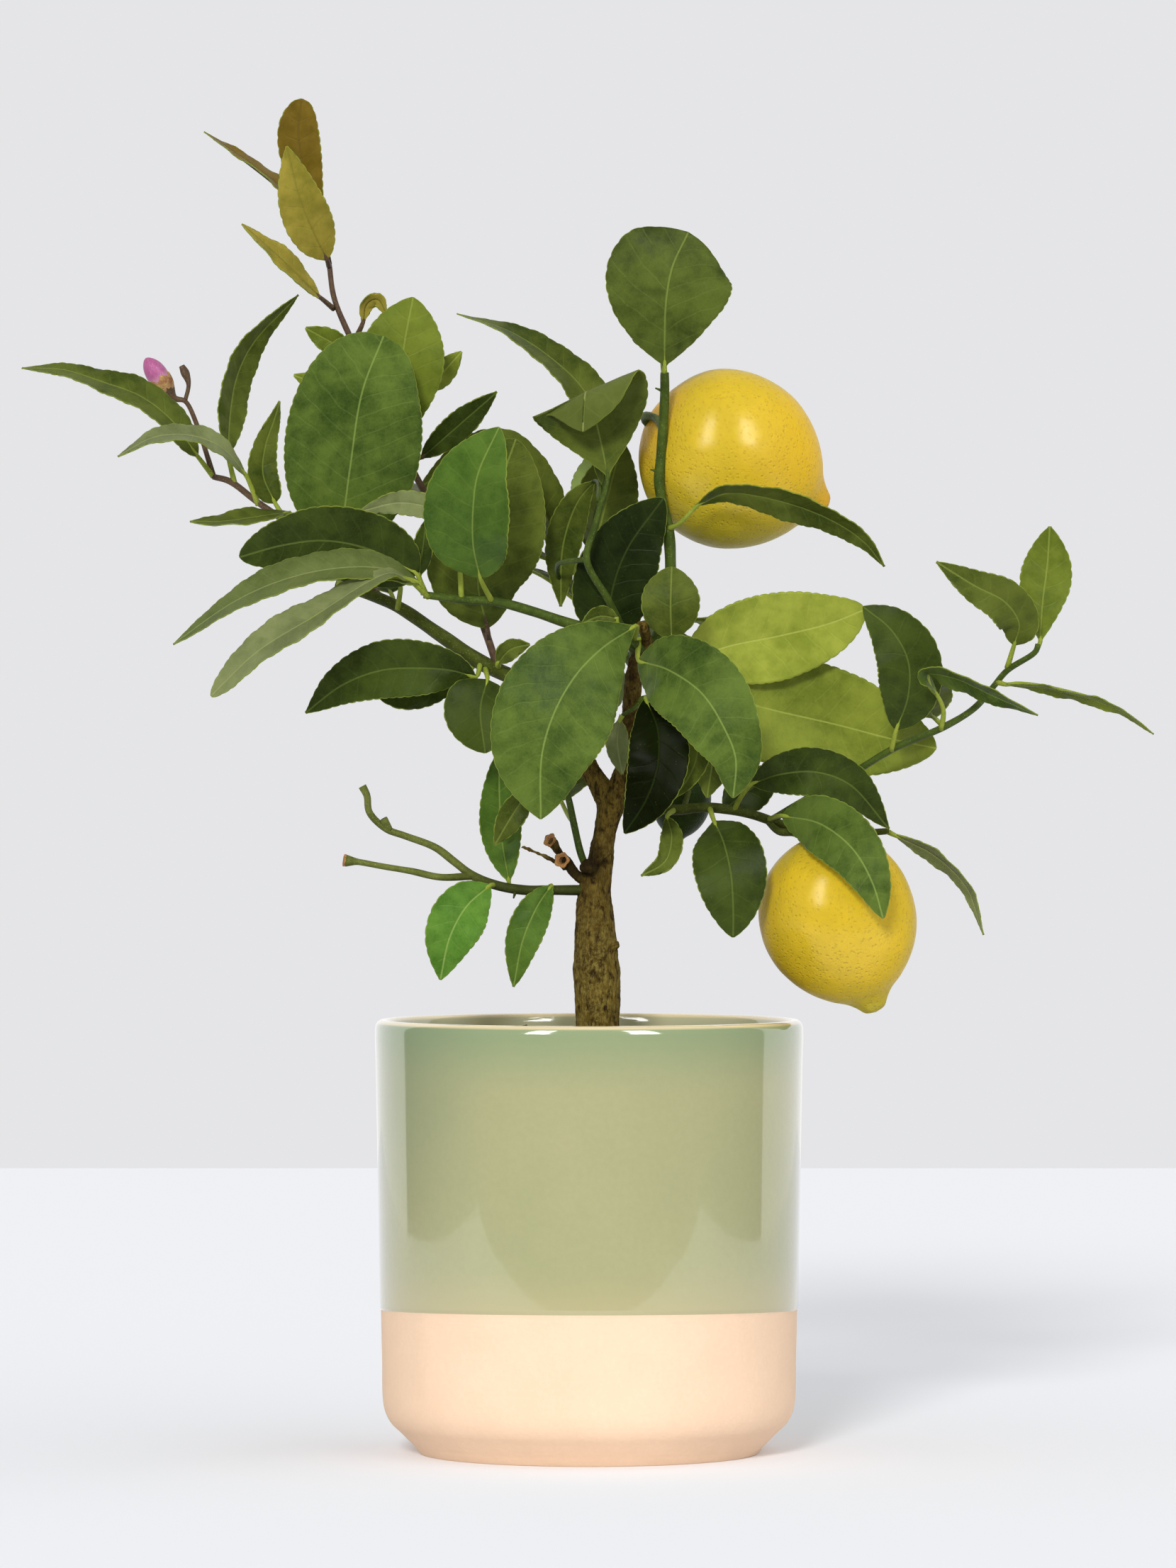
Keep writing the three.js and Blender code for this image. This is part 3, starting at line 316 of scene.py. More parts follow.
class Finish(Nodes):
    """A material on its piece's own coordinates, in metres. Colours are laid one over another with blend()
    and tint(), and dress() gives the last of them to the surface shader."""

    def __init__(self, name):
        self.material = bpy.data.materials.new(name)
        self.material.use_nodes = True
        super().__init__(self.material.node_tree)
        self.shader = self.tree.nodes["Principled BSDF"]
        self.where = self.add("ShaderNodeTexCoord").outputs["Object"]
        self.colour = None

    def mottle(self, scale, contrast):
        return self.shared("mottle", {"Where": self.where, "Scale": scale, "Contrast": contrast})["Mask"]

    def pores(self, scale, size):
        return self.shared("pores", {"Where": self.where, "Scale": scale, "Size": size})["Depth"]

    def grain(self, scale):
        return self.noise(self.where, scale)

    def stretched_grain(self, scales, detail, roughness=0.5):
        """Noise with its own scale on each axis."""
        stretched = self.add("ShaderNodeMapping", {"Vector": self.where, "Scale": scales}).outputs[0]
        return self.noise(stretched, 1, detail, roughness)

    def map(self, name):
        """The two values of the piece's own map of that name."""
        u, v, _ = self.axes(self.add("ShaderNodeUVMap", uv_map=name).outputs[0])
        return u, v

    def blend(self, mask, first, second):
        """Starts with one colour, and another where the mask is 1."""
        self.colour = (*srgb(first), 1)
        self.tint(mask, second)

    def tint(self, mask, code, most=None):
        """Lays a colour over what is there as far as the mask says, which most makes weaker."""
        share = mask if most is None else self.times(mask, most)
        inputs = {0: share, 6: self.colour, 7: (*srgb(code), 1)}
        self.colour = self.add("ShaderNodeMix", inputs, data_type="RGBA").outputs[2]

    def dress(self, roughness, height=None, depth=0, fixed=None):
        """Gives the shader the colour, its roughness and relief, and returns the material. height is 0 to 1,
        and depth its size in millimetres."""
        self.feed(self.shader.inputs["Base Color"], self.colour)
        self.feed(self.shader.inputs["Roughness"], roughness)
        if height is not None:
            bump = self.add("ShaderNodeBump", {"Height": height, "Distance": depth * MM, "Strength": 1.0})
            self.feed(self.shader.inputs["Normal"], bump.outputs[0])
        for name, value in (fixed or {}).items():
            self.shader.inputs[name].default_value = value
        return self.material


def floor_finish():
    plain = Finish("floor")
    plain.colour = (*srgb("EDEEF2"), 1)
    return plain.dress(0.9, fixed={"Specular IOR Level": 0.0})


def glaze_finish():
    """Glossy sage glaze: greener where it lies deep under the lip, and tan where it breaks over it."""
    glaze = Finish("sage_glaze")
    x, y, height = glaze.axes(glaze.where)
    cloud = glaze.mottle(14, 1.1)
    glaze.blend(cloud, "999B73", "A5A279")
    glaze.tint(glaze.mottle(420, 2.5), "868A62", 0.16)
    glaze.tint(glaze.between(glaze.math("MULTIPLY_ADD", cloud, 0.012, height), 0.16, 0.192), "84936E")
    glaze.tint(glaze.between(height, 0.0605, 0.085, 1, 0), "A9A178")
    # Greener on the left flank, where the glaze runs heavier, and darker there as painted shade.
    thick_glaze_and_shade = glaze.times(glaze.between(x, -0.035, -0.078), glaze.between(height, 0.08, 0.16))
    glaze.tint(thick_glaze_and_shade, "74866A", 0.4)
    # Paler inside the pot: partly the inner glaze's own tone, partly painted light on the shaded inner wall.
    reach = glaze.math("SQRT", glaze.math("ADD", glaze.times(x, x), glaze.times(y, y)))
    glaze.tint(glaze.between(reach, 0.0862, 0.0854), "AAA886")
    glaze.tint(glaze.between(height, 0.1813, 0.1826), "D8C69C")
    coat = {"Coat Weight": 1.0, "Coat Roughness": 0.03, "Coat IOR": 1.55}
    return glaze.dress(0.1, cloud, 0.12, coat)


def clay_finish():
    """Bare, pale clay with fine grog and faint rings from the wheel."""
    clay = Finish("bare_clay")
    cloud = clay.mottle(16, 1.5)
    grog = clay.mottle(500, 3)
    rings = clay.stretched_grain((4, 4, 700), 2)
    clay.blend(cloud, "DDBFA2", "E6C8AC")
    clay.tint(grog, "CCA480", 0.1)
    height = clay.math("MULTIPLY_ADD", rings, 0.5, clay.times(grog, 0.5))
    return clay.dress(clay.between(cloud, 0, 1, 0.72, 0.85), height, 0.12)


def soil_finish(name, dark, light):
    soil = Finish(name)
    lump = soil.mottle(130, 2.4)
    grit = soil.mottle(700, 3)
    soil.blend(soil.times(lump, grit), dark, light)
    return soil.dress(0.93, soil.math("ADD", lump, grit), 0.8)


def bark_finish():
    """Olive-brown bark: fine broken grain along it, dark flakes, painted shade that goes near black where the
    branches meet and, low down, pale specks.
    """
    bark = Finish("bark")
    height_up = bark.axes(bark.where)["Z"]
    flake = bark.stretched_grain((420, 420, 210), 5, 0.68)
    fibre = bark.stretched_grain((1500, 1500, 330), 4, 0.65)
    bark.blend(bark.mottle(44, 3.4), "3C2D0F", "6E5B24")
    bark.tint(bark.times(bark.mottle(520, 5), bark.between(height_up, 0.205, 0.24, 0.6, 0.2)), "8E7F42")
    bark.tint(bark.between(fibre, 0.32, 0.54, 0.7, 0), "3A2B12")
    bark.tint(bark.between(flake, 0.36, 0.5, 0.9, 0), "261A0C")
    # Painted shade: near black round the point where the branches leave the trunk.
    join_distance = bark.add("ShaderNodeVectorMath", {0: bark.where, 1: metres(*SHADED_JOIN)}, operation="DISTANCE")
    bark.tint(bark.between(join_distance.outputs["Value"], 0.006, 0.015, 0.85, 0), "1A130A")
    relief = bark.math("MULTIPLY_ADD", flake, 0.9, bark.times(fibre, 0.5))
    return bark.dress(0.85, relief, 1.1, {"Specular IOR Level": 0.1})


def stem_finish(name, base, streak, roughness=0.5, dark_from=None):
    """A thin shoot's skin, streaked along it, with small pale dots. It darkens to the right of dark_from."""
    skin = Finish(name)
    skin.blend(skin.mottle(110, 2.2), base, streak)
    skin.tint(skin.pores(900, 0.3), "B9BC86", 0.25)
    if dark_from is not None:
        across = skin.axes(skin.where)["X"]
        skin.tint(skin.between(across, dark_from, dark_from + 0.025, 0, 0.75), "1E240C")
    return skin.dress(roughness, skin.grain(900), 0.25, {"Specular IOR Level": 0.15})


def vein_parts(face):
    """The vein group, fed from the blade's own maps."""
    vein, _ = face.map("veins")
    rib, margin = face.map("edges")
    return face.shared("leaf_veins", {"Where": face.where, "Vein": vein, "Rib": rib, "Margin": margin})


def leaf_finish(name, deep, light, rib, roughness, shine=0.1):
    """A leaf's upper face: mottled between two greens, with a pale midrib, faint side veins and oil dots."""
    face = Finish(name)
    parts = vein_parts(face)
    patch = face.mottle(38, 3.2)
    freckle = face.mottle(210, 2.6)
    face.blend(patch, deep, light)
    face.tint(freckle, light, 0.28)
    face.tint(parts["Net"], rib, 0.05)
    face.tint(parts["Side"], rib, 0.09)
    face.tint(face.pores(520, 0.16), "8C9440", 0.16)
    face.tint(parts["Midrib"], rib, 0.5)
    face.tint(parts["Edge"], "8E9A3C", 0.5)
    face.tint(face.times(face.pores(240, 0.14), face.between(freckle, 0.72, 0.95, 0, 0.7)), "4A3A16")
    height = face.math("MULTIPLY_ADD", parts["Side"], -0.35, face.times(parts["Midrib"], -0.5))
    height = face.math("MULTIPLY_ADD", freckle, 0.08, height)
    rough = face.between(patch, 0, 1, roughness, roughness + 0.1)
    return face.dress(rough, height, 0.2, {"Specular IOR Level": shine})


def underside_finish(name, deep, light, rib):
    """A leaf's under face: paler and duller, with its veins standing out."""
    face = Finish(name)
    parts = vein_parts(face)
    face.blend(face.mottle(60, 1.8), deep, light)
    face.tint(parts["Net"], deep, 0.06)
    face.tint(parts["Side"], rib, 0.12)
    face.tint(parts["Midrib"], rib)
    height = face.math("MULTIPLY_ADD", parts["Side"], 0.5, parts["Midrib"])
    return face.dress(0.6, height, 0.1, {"Specular IOR Level": 0.12})


def peel_finish(name, skin, sunny, tip, pore, gloss, tip_warmth_and_light, low):
    """Waxy peel with pits, greener below the height low, in metres. The map along runs from 0 at the stalk to
    1 at the tip."""
    peel = Finish(name)
    along, _ = peel.map("along")
    patch = peel.mottle(26, 1.8)
    pits = peel.pores(pore, 0.42)
    fine = peel.pores(pore * 2.1, 0.4)
    peel.blend(patch, skin, sunny)
    # Warmer and lighter toward the tip: partly the peel's own colour, partly painted light.
    peel.tint(peel.between(along, 0.3, 0.85, 0, tip_warmth_and_light), "E4B018")
    peel.tint(peel.between(peel.axes(peel.where)["Z"], low, low - 0.035, 0, 0.7), "A09A26")
    peel.tint(peel.between(along, 0.84, 1.0, 0, 0.7), tip)
    peel.tint(peel.between(along, 0.0, 0.12, 0.6, 0), tip)
    peel.tint(pits, tip, 0.16)
    height = peel.math("MULTIPLY_ADD", pits, -0.55, peel.times(fine, -0.25))
    height = peel.math("MULTIPLY_ADD", peel.grain(150), 0.9, height)
    limb = peel.add("ShaderNodeLayerWeight", {"Blend": 0.5}).outputs["Facing"]
    peel.feed(peel.shader.inputs["Coat Weight"], peel.between(limb, 0.12, 0.45, gloss, 0))
    wax = {"Coat Roughness": 0.25, "Specular IOR Level": 0.06,
           "Subsurface Weight": 0.12, "Subsurface Radius": (0.004, 0.0025, 0.0006)}
    return peel.dress(peel.between(patch, 0, 1, 0.3, 0.38), height, 0.55, wax)


def petal_finish():
    """Pink and purple petals, paler toward the stalk."""
    petal = Finish("bud_petal")
    along, _ = petal.map("along")
    streak = petal.stretched_grain((1600, 1600, 260), 3)
    petal.blend(streak, "8A3468", "B06A92")
    petal.tint(petal.between(along, 0.25, 0.5, 0.6, 0), "C4A2A4")
    flesh = {"Subsurface Weight": 0.1, "Subsurface Radius": (0.001, 0.0005, 0.0006)}
    return petal.dress(0.42, streak, 0.12, flesh)


def calyx_finish(name, dark, light):
    """Dry calyx or young calyx: patches of two colours over fine fibres."""
    calyx = Finish(name)
    calyx.blend(calyx.mottle(320, 3), dark, light)
    return calyx.dress(0.7, calyx.grain(1400), 0.4)


# ---- Making and joining shapes ----
CURVE_PARTS = 16  # between two spots, before the curve is cut into equal steps
STEEP = 0.98  # how nearly a rod may run along its frame's normal before the frame turns


def smooth_line(spots, step, radii=None):
    """Points and radii at equal steps along the centripetal Catmull-Rom curve through the spots, and its
    length."""
    radii = radii or [0] * len(spots)
    ends = [2 * spots[0] - spots[1], *spots, 2 * spots[-1] - spots[-2]]
    line, widths = [], []
    for k in range(len(spots) - 1):
        before, start, end, after = ends[k:k + 4]
        first, middle, last = [max((b - a).length, 1e-9) ** 0.5
                               for a, b in ((before, start), (start, end), (end, after))]
        leave = (start - before) / first - (end - before) / (first + middle) + (end - start) / middle
        arrive = (end - start) / middle - (after - start) / (middle + last) + (after - end) / last
        bend = interpolate_bezier(start, start + leave * middle / 3, end - arrive * middle / 3, end,
                                  CURVE_PARTS + 1)
        line.extend(bend[:-1])
        widths.extend(np.linspace(radii[k], radii[k + 1], CURVE_PARTS, endpoint=False))
    line.append(spots[-1])
    widths.append(radii[-1])
    points = np.array([tuple(p) for p in line])
    run = np.concatenate([[0], np.cumsum(np.linalg.norm(np.diff(points, axis=0), axis=1))])
    length = float(run[-1])
    at = np.linspace(0, length, max(int(round(length / step)), 4) + 1)
    even = [Vector([np.interp(s, run, points[:, axis]) for axis in range(3)]) for s in at]
    return even, [float(np.interp(s, run, widths)) for s in at], length


def headings(line):
    """The direction of a line at each of its points."""
    last = len(line) - 1
    return [(line[min(i + 1, last)] - line[max(i - 1, 0)]).normalized() for i in range(last + 1)]


def append(whole, shape, material):
    """Adds a finished shape to a growing one and gives its faces that material."""
    for face in shape.faces:
        face.smooth = True
        face.material_index = material
    scrap = bpy.data.meshes.new("scrap")
    shape.to_mesh(scrap)
    shape.free()
    whole.from_mesh(scrap)
    bpy.data.meshes.remove(scrap)


def rod(whole, line, widths, sides, ridge=0.0, material=0):
    """Adds a closed rod: a circle carried along the line by extruding it. ridge makes it three-cornered."""
    shape = bmesh.new()
    normal = Vector((0, -1, 0))
    frames = []
    for spot, width, way in zip(line, widths, headings(line)):
        if abs(way.dot(normal)) > STEEP:
            normal = Vector((1, 0, 0))
        normal = (normal - way * normal.dot(way)).normalized()
        side = way.cross(normal)
        axes = Matrix((normal * width, side * width, way)).transposed().to_4x4()
        frames.append(Matrix.Translation(spot) @ axes)
    ring = bmesh.ops.create_circle(shape, cap_ends=False, segments=sides, radius=1)["verts"]
    for vert in ring:
        vert.co *= 1 + ridge * math.cos(3 * math.atan2(vert.co.y, vert.co.x))
    bmesh.ops.transform(shape, matrix=frames[0], verts=ring)
    first_edges = edges = list(shape.edges)
    for here, there in zip(frames, frames[1:]):
        made = bmesh.ops.extrude_edge_only(shape, edges=edges)["geom"]
        edges = [e for e in made if isinstance(e, bmesh.types.BMEdge)]
        ring = [v for v in made if isinstance(v, bmesh.types.BMVert)]
        bmesh.ops.transform(shape, matrix=there @ here.inverted(), verts=ring)
    bmesh.ops.contextual_create(shape, geom=first_edges)
    bmesh.ops.contextual_create(shape, geom=edges)
    bmesh.ops.recalc_face_normals(shape, faces=shape.faces)
    append(whole, shape, material)


def stem_rod(whole, points, step, sides, ridge, material=0):
    """A stem along table points [across, depth, height, radius], with a soft swelling here and there."""
    line, widths, _ = smooth_line([place(p) for p in points], step * MM, [p[3] * MM for p in points])
    seed = points[0][0] * 0.37
    widths = [w * (1 + 0.07 * noise.noise((seed, i * step * 0.11, 0))) for i, w in enumerate(widths)]
    rod(whole, line, widths, sides, ridge, material)


def turned(outline, steps):
    """A closed solid turned about Z from [radius, height] points in metres that start and end on the axis."""
    shape = bmesh.new()
    corners = [shape.verts.new((radius, 0, height)) for radius, height in outline]
    edges = [shape.edges.new(pair) for pair in zip(corners, corners[1:])]
    bmesh.ops.spin(shape, geom=corners + edges, cent=(0, 0, 0), axis=(0, 0, 1), angle=2 * math.pi,
                   steps=steps, use_merge=True)
    bmesh.ops.remove_doubles(shape, verts=shape.verts, dist=1e-6)
    bmesh.ops.recalc_face_normals(shape, faces=shape.faces)
    return shape


def rounded(outline, spacing, radius=1, length=1):
    """In metres, a smooth curve at about that spacing through [radius, height] points. They are given in
    millimetres, or as parts of a radius and a length."""
    spots = [Vector((across * radius * MM, 0, height * length * MM)) for across, height in outline]
    line, _, _ = smooth_line(spots, spacing * MM)
    return [(max(p.x, 0), p.z) for p in line]


def new_object(name, shape, finishes=()):
    """Makes the shape a smooth object with those finishes and frees it."""
    mesh = bpy.data.meshes.new(name)
    for face in shape.faces:
        face.smooth = True
    shape.to_mesh(mesh)
    shape.free()
    for finish in finishes:
        mesh.materials.append(finish)
    made = bpy.data.objects.new(name, mesh)
    bpy.context.scene.collection.objects.link(made)
    return made


def finished_piece(name, shape, finishes, nodes=()):
    """Makes the shape a piece that rides on the tree and stands for those CAD nodes."""
    piece = new_object(name, shape, finishes)
    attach(piece, "root")
    if nodes:
        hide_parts(*nodes)
    return piece


# ---- Leaves ----
RIB_SPREAD = (0.0, 0.07, 0.34, 0.66, 0.93, 1.0)  # columns of a blade's half, from the midrib to the margin
RIPPLE_STEP = 2.1  # radians of the margin's wave in one section of the CAD blade
VEIN_SLANT = 0.62
Station = namedtuple("Station", "spot out up half swell along")


def blade_stations(leaf):
    """Stations about a millimetre apart along the midrib, and the blade's length. out and up are the blade's
    directions there, half is half its width, and swell and along run from 0 to 1."""
    rib = [place(p) for p in leaf.rib]
    length = smooth_line(rib, MM)[2]
    line = smooth_line(rib, length / max(int(length / MM), 12))[0]
    skew = math.log(0.5) / math.log(leaf.belly)
    look = Vector(leaf.face).normalized()
    stations = []
    for i, (spot, way) in enumerate(zip(line, headings(line))):
        along = i / (len(line) - 1)
        level = (look - way * look.dot(way)).normalized()
        if leaf.rolled:
            look = level
        right = way.cross(level)
        roll = math.radians(leaf.turn[0] + (leaf.turn[1] - leaf.turn[0]) * along)
        up = level * math.cos(roll) + right * math.sin(roll)
        out = right * math.cos(roll) - level * math.sin(roll)
        swell = math.sin(math.pi * min(along, 0.9999) ** skew) ** leaf.full
        half = max(BLADE_LEAST * (1 - 0.5 * along), leaf.width / 2 * swell)
        stations.append(Station(spot, out, up, half, swell, along))
    return stations, length / MM


def blade(whole, leaf, stations, length, finish):
    """A leaf's blade: a grid laid over its midrib, folded, waved, puckered between its veins and toothed."""
    last = len(stations) - 1
    columns = len(RIB_SPREAD) - 1
    sections = 8 if length > LONG_BLADE else 6 if length > SHORT_BLADE else 5
    vein_count = max(round(length / VEIN_SPACING), 4)
    shape = bmesh.new()
    veins = shape.loops.layers.uv.new("veins")
    edges = shape.loops.layers.uv.new("edges")
    grid = bmesh.ops.create_grid(shape, x_segments=2 * columns, y_segments=last, size=0.5)["verts"]
    facts = {}
    for vert in grid:
        column = round((vert.co.x + 0.5) * 2 * columns) - columns
        row = round((vert.co.y + 0.5) * last)
        spot, out, up, half, swell, along = stations[row]
        side = math.copysign(1, column)
        reach = RIB_SPREAD[abs(column)]
        tooth = abs(math.sin(math.pi * row / STATIONS_PER_TOOTH)) ** 0.6
        notch = TOOTH_DEPTH * (1 - tooth) * min(1, 2 * swell) if abs(column) == columns else 0
        aside = side * (reach * half - notch)
        vein = vein_count * (along - VEIN_SLANT * reach * half / length)
        ripple = RIPPLE * side * reach ** 3 * math.sin(sections * along * RIPPLE_STEP + leaf.width)
        crimp = CRIMP * reach ** 6 * math.sin(row * 0.55 + 4 * side * reach + leaf.width)
        pucker = PUCKER * 4 * reach * (1 - reach) * math.sin(2 * math.pi * vein)
        groove = GROOVE * (1 - along) if column == 0 else 0
        rise = swell * (leaf.fold * half * reach ** 1.25 + ripple + crimp + pucker) - groove
        facts[vert.index] = (vein, along, reach * half / 10, (1 - reach) * half / 10)
        vert.co = spot + out * aside * MM + up * rise * MM
    for face in shape.faces:
        for corner in face.loops:
            vein, along, rib, margin = facts[corner.vert.index]
            corner[veins].uv = (vein + 1, along)
            corner[edges].uv = (rib, margin)
    append(whole, shape, finish)


def petiole(whole, leaf, stations):
    """The leaf's stalk, from a swollen joint on the stem, which runs on under the blade as its midrib."""
    route = [place(leaf.start), *(place(p) for p in leaf.bend)]
    radii = [JOINT_RADIUS] + [STALK_RADIUS] * (len(route) - 1)
    for share in (0, 0.06, 0.2, 0.4, 0.6, 0.8, 0.93):
        here = stations[round(share * (len(stations) - 1))]
        radius = MIDRIB_TAPER * (1 - share) ** 0.8 + MIDRIB_TIP
        route.append(here.spot - here.up * MM * min(share * 14, 1) * (0.85 * radius + 0.2))
        radii.append(min(radius, here.half * 0.95))
    line, widths, _ = smooth_line(route, 2.2 * MM, [r * MM for r in radii])
    rod(whole, line, widths, 8)


# ---- The plant: limbs, shoots and leaves, in millimetres as place() takes them ----
# A stem's points are [across, depth, height, radius], and a leaf's [across, depth, height]. Its stalk runs
# from start, past the bend, to the rib's first point, and the rib on to the tip. turn rolls the blade about
# its rib, in degrees at the base and at the tip. belly says how far along it is widest, and the lower full
# is, the blunter are its ends. fold says how far its halves rise, and face which way it looks. A rolled
# leaf turns away from that as its rib bends over.
Leaf = namedtuple("Leaf", "kind width start rib bend turn belly full fold face rolled",
                  defaults=[(), (0, 0), 0.45, 0.8, 0.18, (0, -1, 0), False])
Shoot = namedtuple("Shoot", "stems leaves")

TRUNK_LINE = [
    [4, 0, 122, 6], [4, 0, 150, 9.2], [3.6, 0, 181, 9.2], [3.6, 0, 195, 9.6], [3, 0, 207, 9.6],
    [2.8, 0, 222, 8.4], [2.3, 0, 237, 7.2], [4.5, 0, 248, 5.4], [6.2, 0, 260, 4.6], [9, 0, 274, 5.4],
]
LEFT_LIMB_LINE = [
    [9, 0, 272, 4.6], [6, 0, 279, 4.7], [0, 2, 290, 4.2], [-9, 3, 303, 4], [-21, 4, 318, 3.8],
    [-34, 4, 329, 3.4],
]
RIGHT_LIMB_LINE = [
    [9, 0, 272, 4.6], [12.5, 0, 281, 4.6], [16, 0, 293, 4.2], [18, 0, 315, 3.8], [20, 0, 333, 3.7],
    [25, 0, 342, 3.6],
]
CUT_STUB_LINE = [
    [25, -1, 341, 2.4], [24, -6, 346, 2.2], [23, -11, 350, 2.9], [22.5, -12, 351, 2.2],
]
TRUNK_SCARS = [
    [[2, -3, 246, 3], [-1, -8, 248, 3.4], [-2, -9.5, 248.5, 2.2]],
    [[6, -2, 214, 3], [12.6, -3, 215, 1.6]],
    [[2, 0, 240, 2.4], [-6, -3, 245, 2.2], [-10, -5, 251, 2], [-11.5, -6, 251.5, 2.8]],
    [[-7, -3, 246, 1.8], [-12, -2, 253, 1.5], [-16, -4, 259, 2.4]],
    [[-10, -4, 247, 1.2], [-16, -7, 251, 0.9], [-22.5, -8, 254, 0.8], [-28.5, -9, 256.5, 0.7]],
    [[0, -7, 248, 1.7], [5, -9.5, 251, 1.1], [9.5, -10.5, 254.5, 0.8]],
]

LEFT_BRANCH = Shoot(stems=[
    [[-33, 4, 328.4, 3.4], [-45, 4, 334, 3.3], [-63, 4, 346, 2.9], [-81, 4, 358, 2.6], [-98, 5, 365, 2.4],
     [-107, 6, 368, 2.2]],
], leaves=[
    Leaf("dark", 25, [-46, 2, 334], [[-48, -4, 328], [-58, -9, 331], [-73, -12, 332], [-88, -13, 331],
         [-104, -11, 325], [-120, -6, 313]], turn=[-10, 15]),
    Leaf("dark", 31, [-44, 2, 332], [[-43, -6, 327], [-46, -13, 315], [-44, -19, 296]], full=0.6),
    Leaf("mid", 9, [-38, 3, 332], [[-39, -3, 334], [-33, -6, 340], [-25, -6, 342]]),
    Leaf("grass", 58, [-106, 4, 367], [[-105, -8, 387.5], [-101, -12, 418], [-96, -15, 449],
         [-87, -13, 472.5]], bend=[[-104, -6, 376]], belly=0.46, full=0.4, fold=0.1),
    Leaf("mid", 9, [-81, 2, 357], [[-80, -6, 368], [-89, -9, 370], [-99, -10, 366]], turn=[20, 20]),
    Leaf("dark", 15, [-47, 5, 335], [[-53, 6, 329], [-66, 2, 324], [-80, -1, 321], [-95, -2, 325]]),
    Leaf("dark", 30, [-82, 6, 358], [[-84, 14, 364], [-91, 34, 374], [-97, 54, 378]], face=[-0.2, 0.3, 1]),
])

TOP_SHOOT = Shoot(stems=[
    [[-39, 4, 333, 1.6], [-44, 7, 348, 1.6], [-54, 11, 375, 1.5], [-69, 16, 405, 1.5], [-83, 22, 432, 1.4],
     [-93, 28, 456, 1.4], [-102, 33, 474, 1.3], [-108, 37, 489, 1.2], [-110, 40, 503, 1.1]],
], leaves=[
    Leaf("bronze", 18.5, [-110, 40, 503], [[-113, 41, 518], [-120, 39, 540], [-123, 37.5, 558],
         [-121.5, 36, 573]], belly=0.66, full=0.45),
    Leaf("olive", 21, [-110, 39, 502], [[-111, 34, 505], [-116.5, 28, 516], [-122.5, 23, 531],
         [-128, 20, 553]], belly=0.4),
    Leaf("bronze", 14, [-110, 41, 502], [[-114, 49, 519], [-131, 54, 536], [-144, 54, 546],
         [-163, 50, 559]], turn=[70, 73]),
    Leaf("olive", 14, [-108, 36, 484], [[-114, 30, 489], [-130, 22, 505], [-147, 18, 520]], turn=[50, 58]),
    Leaf("olive", 7, [-99, 32, 471], [[-95.5, 29, 479], [-94, 27, 486], [-89.5, 25, 488], [-85.5, 24, 481]],
         turn=[30, 30]),
    Leaf("fresh", 11, [-98.5, 31, 467], [[-101, 27, 466], [-109, 24, 470], [-120, 20, 476]]),
    Leaf("lime", 12, [-89, 26, 446], [[-96, 24, 447], [-111, 22, 451], [-125, 18, 456]]),
    Leaf("lime", 11, [-84, 22, 434], [[-70, 29, 449], [-62, 29, 457], [-54, 28, 466]],
         bend=[[-76, 28, 442]]),
    Leaf("fresh", 36, [-78, 20, 423], [[-81, 12, 426], [-80.5, 5, 445], [-78.5, 3, 467], [-74.5, 6, 489]],
         belly=0.57, full=0.68),
    Leaf("dark", 13, [-77, 20, 421], [[-71, 21, 421], [-55, 20, 435], [-39, 16, 449]], turn=[15, 15]),
    Leaf("mid", 51, [-42.5, 6, 344], [[-43, 1, 349], [-47, -3, 368], [-43, -4, 394], [-31, -3, 429]],
         belly=0.5, full=0.62, fold=0.1),
    Leaf("mid", 30, [-84, 23, 434], [[-87, 30, 439], [-95, 48, 448], [-103, 70, 447]], face=[-0.4, 0.4, 1]),
    Leaf("mid", 28, [-69, 16, 405], [[-70, 26, 406], [-74, 48, 410], [-80, 70, 404]], face=[0, 0.3, 1]),
])

LEFT_SHOOT = Shoot(stems=[
    [[-88, 5, 362, 1.5], [-106, 8, 377, 1.5], [-124, 12, 391, 1.5], [-140, 17, 402, 1.4],
     [-152, 22, 411, 1.4], [-159, 26, 413, 1.3]],
    [[-159, 26, 413, 1.3], [-162, 28, 423, 1.1], [-166, 30, 435, 1], [-171, 31, 445, 1],
     [-175.5, 31.7, 446.2, 1.4], [-179.5, 32, 451.4, 4.2]],
    [[-171, 31, 445, 0.9], [-169.5, 32, 452, 0.9], [-171, 33, 457, 2], [-172.5, 33, 460, 1.2]],
], leaves=[
    Leaf("mid", 19, [-159, 26, 413], [[-166, 23, 422], [-177, 20, 437], [-190, 19, 447], [-206, 22, 453],
         [-222, 28, 458], [-240, 38, 459]], turn=[42, 58], belly=0.35),
    Leaf("pale", 15, [-140, 17, 401], [[-145.5, 12, 414], [-156, 4, 425.5], [-170, -3, 430.5],
         [-184, -7, 429.5], [-199.5, -10, 421.5]], turn=[58, 56]),
    Leaf("mid", 15, [-126, 12, 393], [[-127, 7, 398], [-140, 0, 396], [-155, -5, 394], [-169, -7, 394]],
         turn=[62, 62]),
    Leaf("mid", 17, [-150, 21, 410], [[-153, 27, 423], [-152, 36, 440], [-149, 42, 456], [-142, 46, 470],
         [-123, 48, 490]], turn=[40, 50], belly=0.4),
    Leaf("mid", 13, [-128, 13, 394], [[-133, 14, 402], [-138, 16, 414], [-137, 17, 426], [-133, 16, 438],
         [-131, 13, 445]], belly=0.28),
])

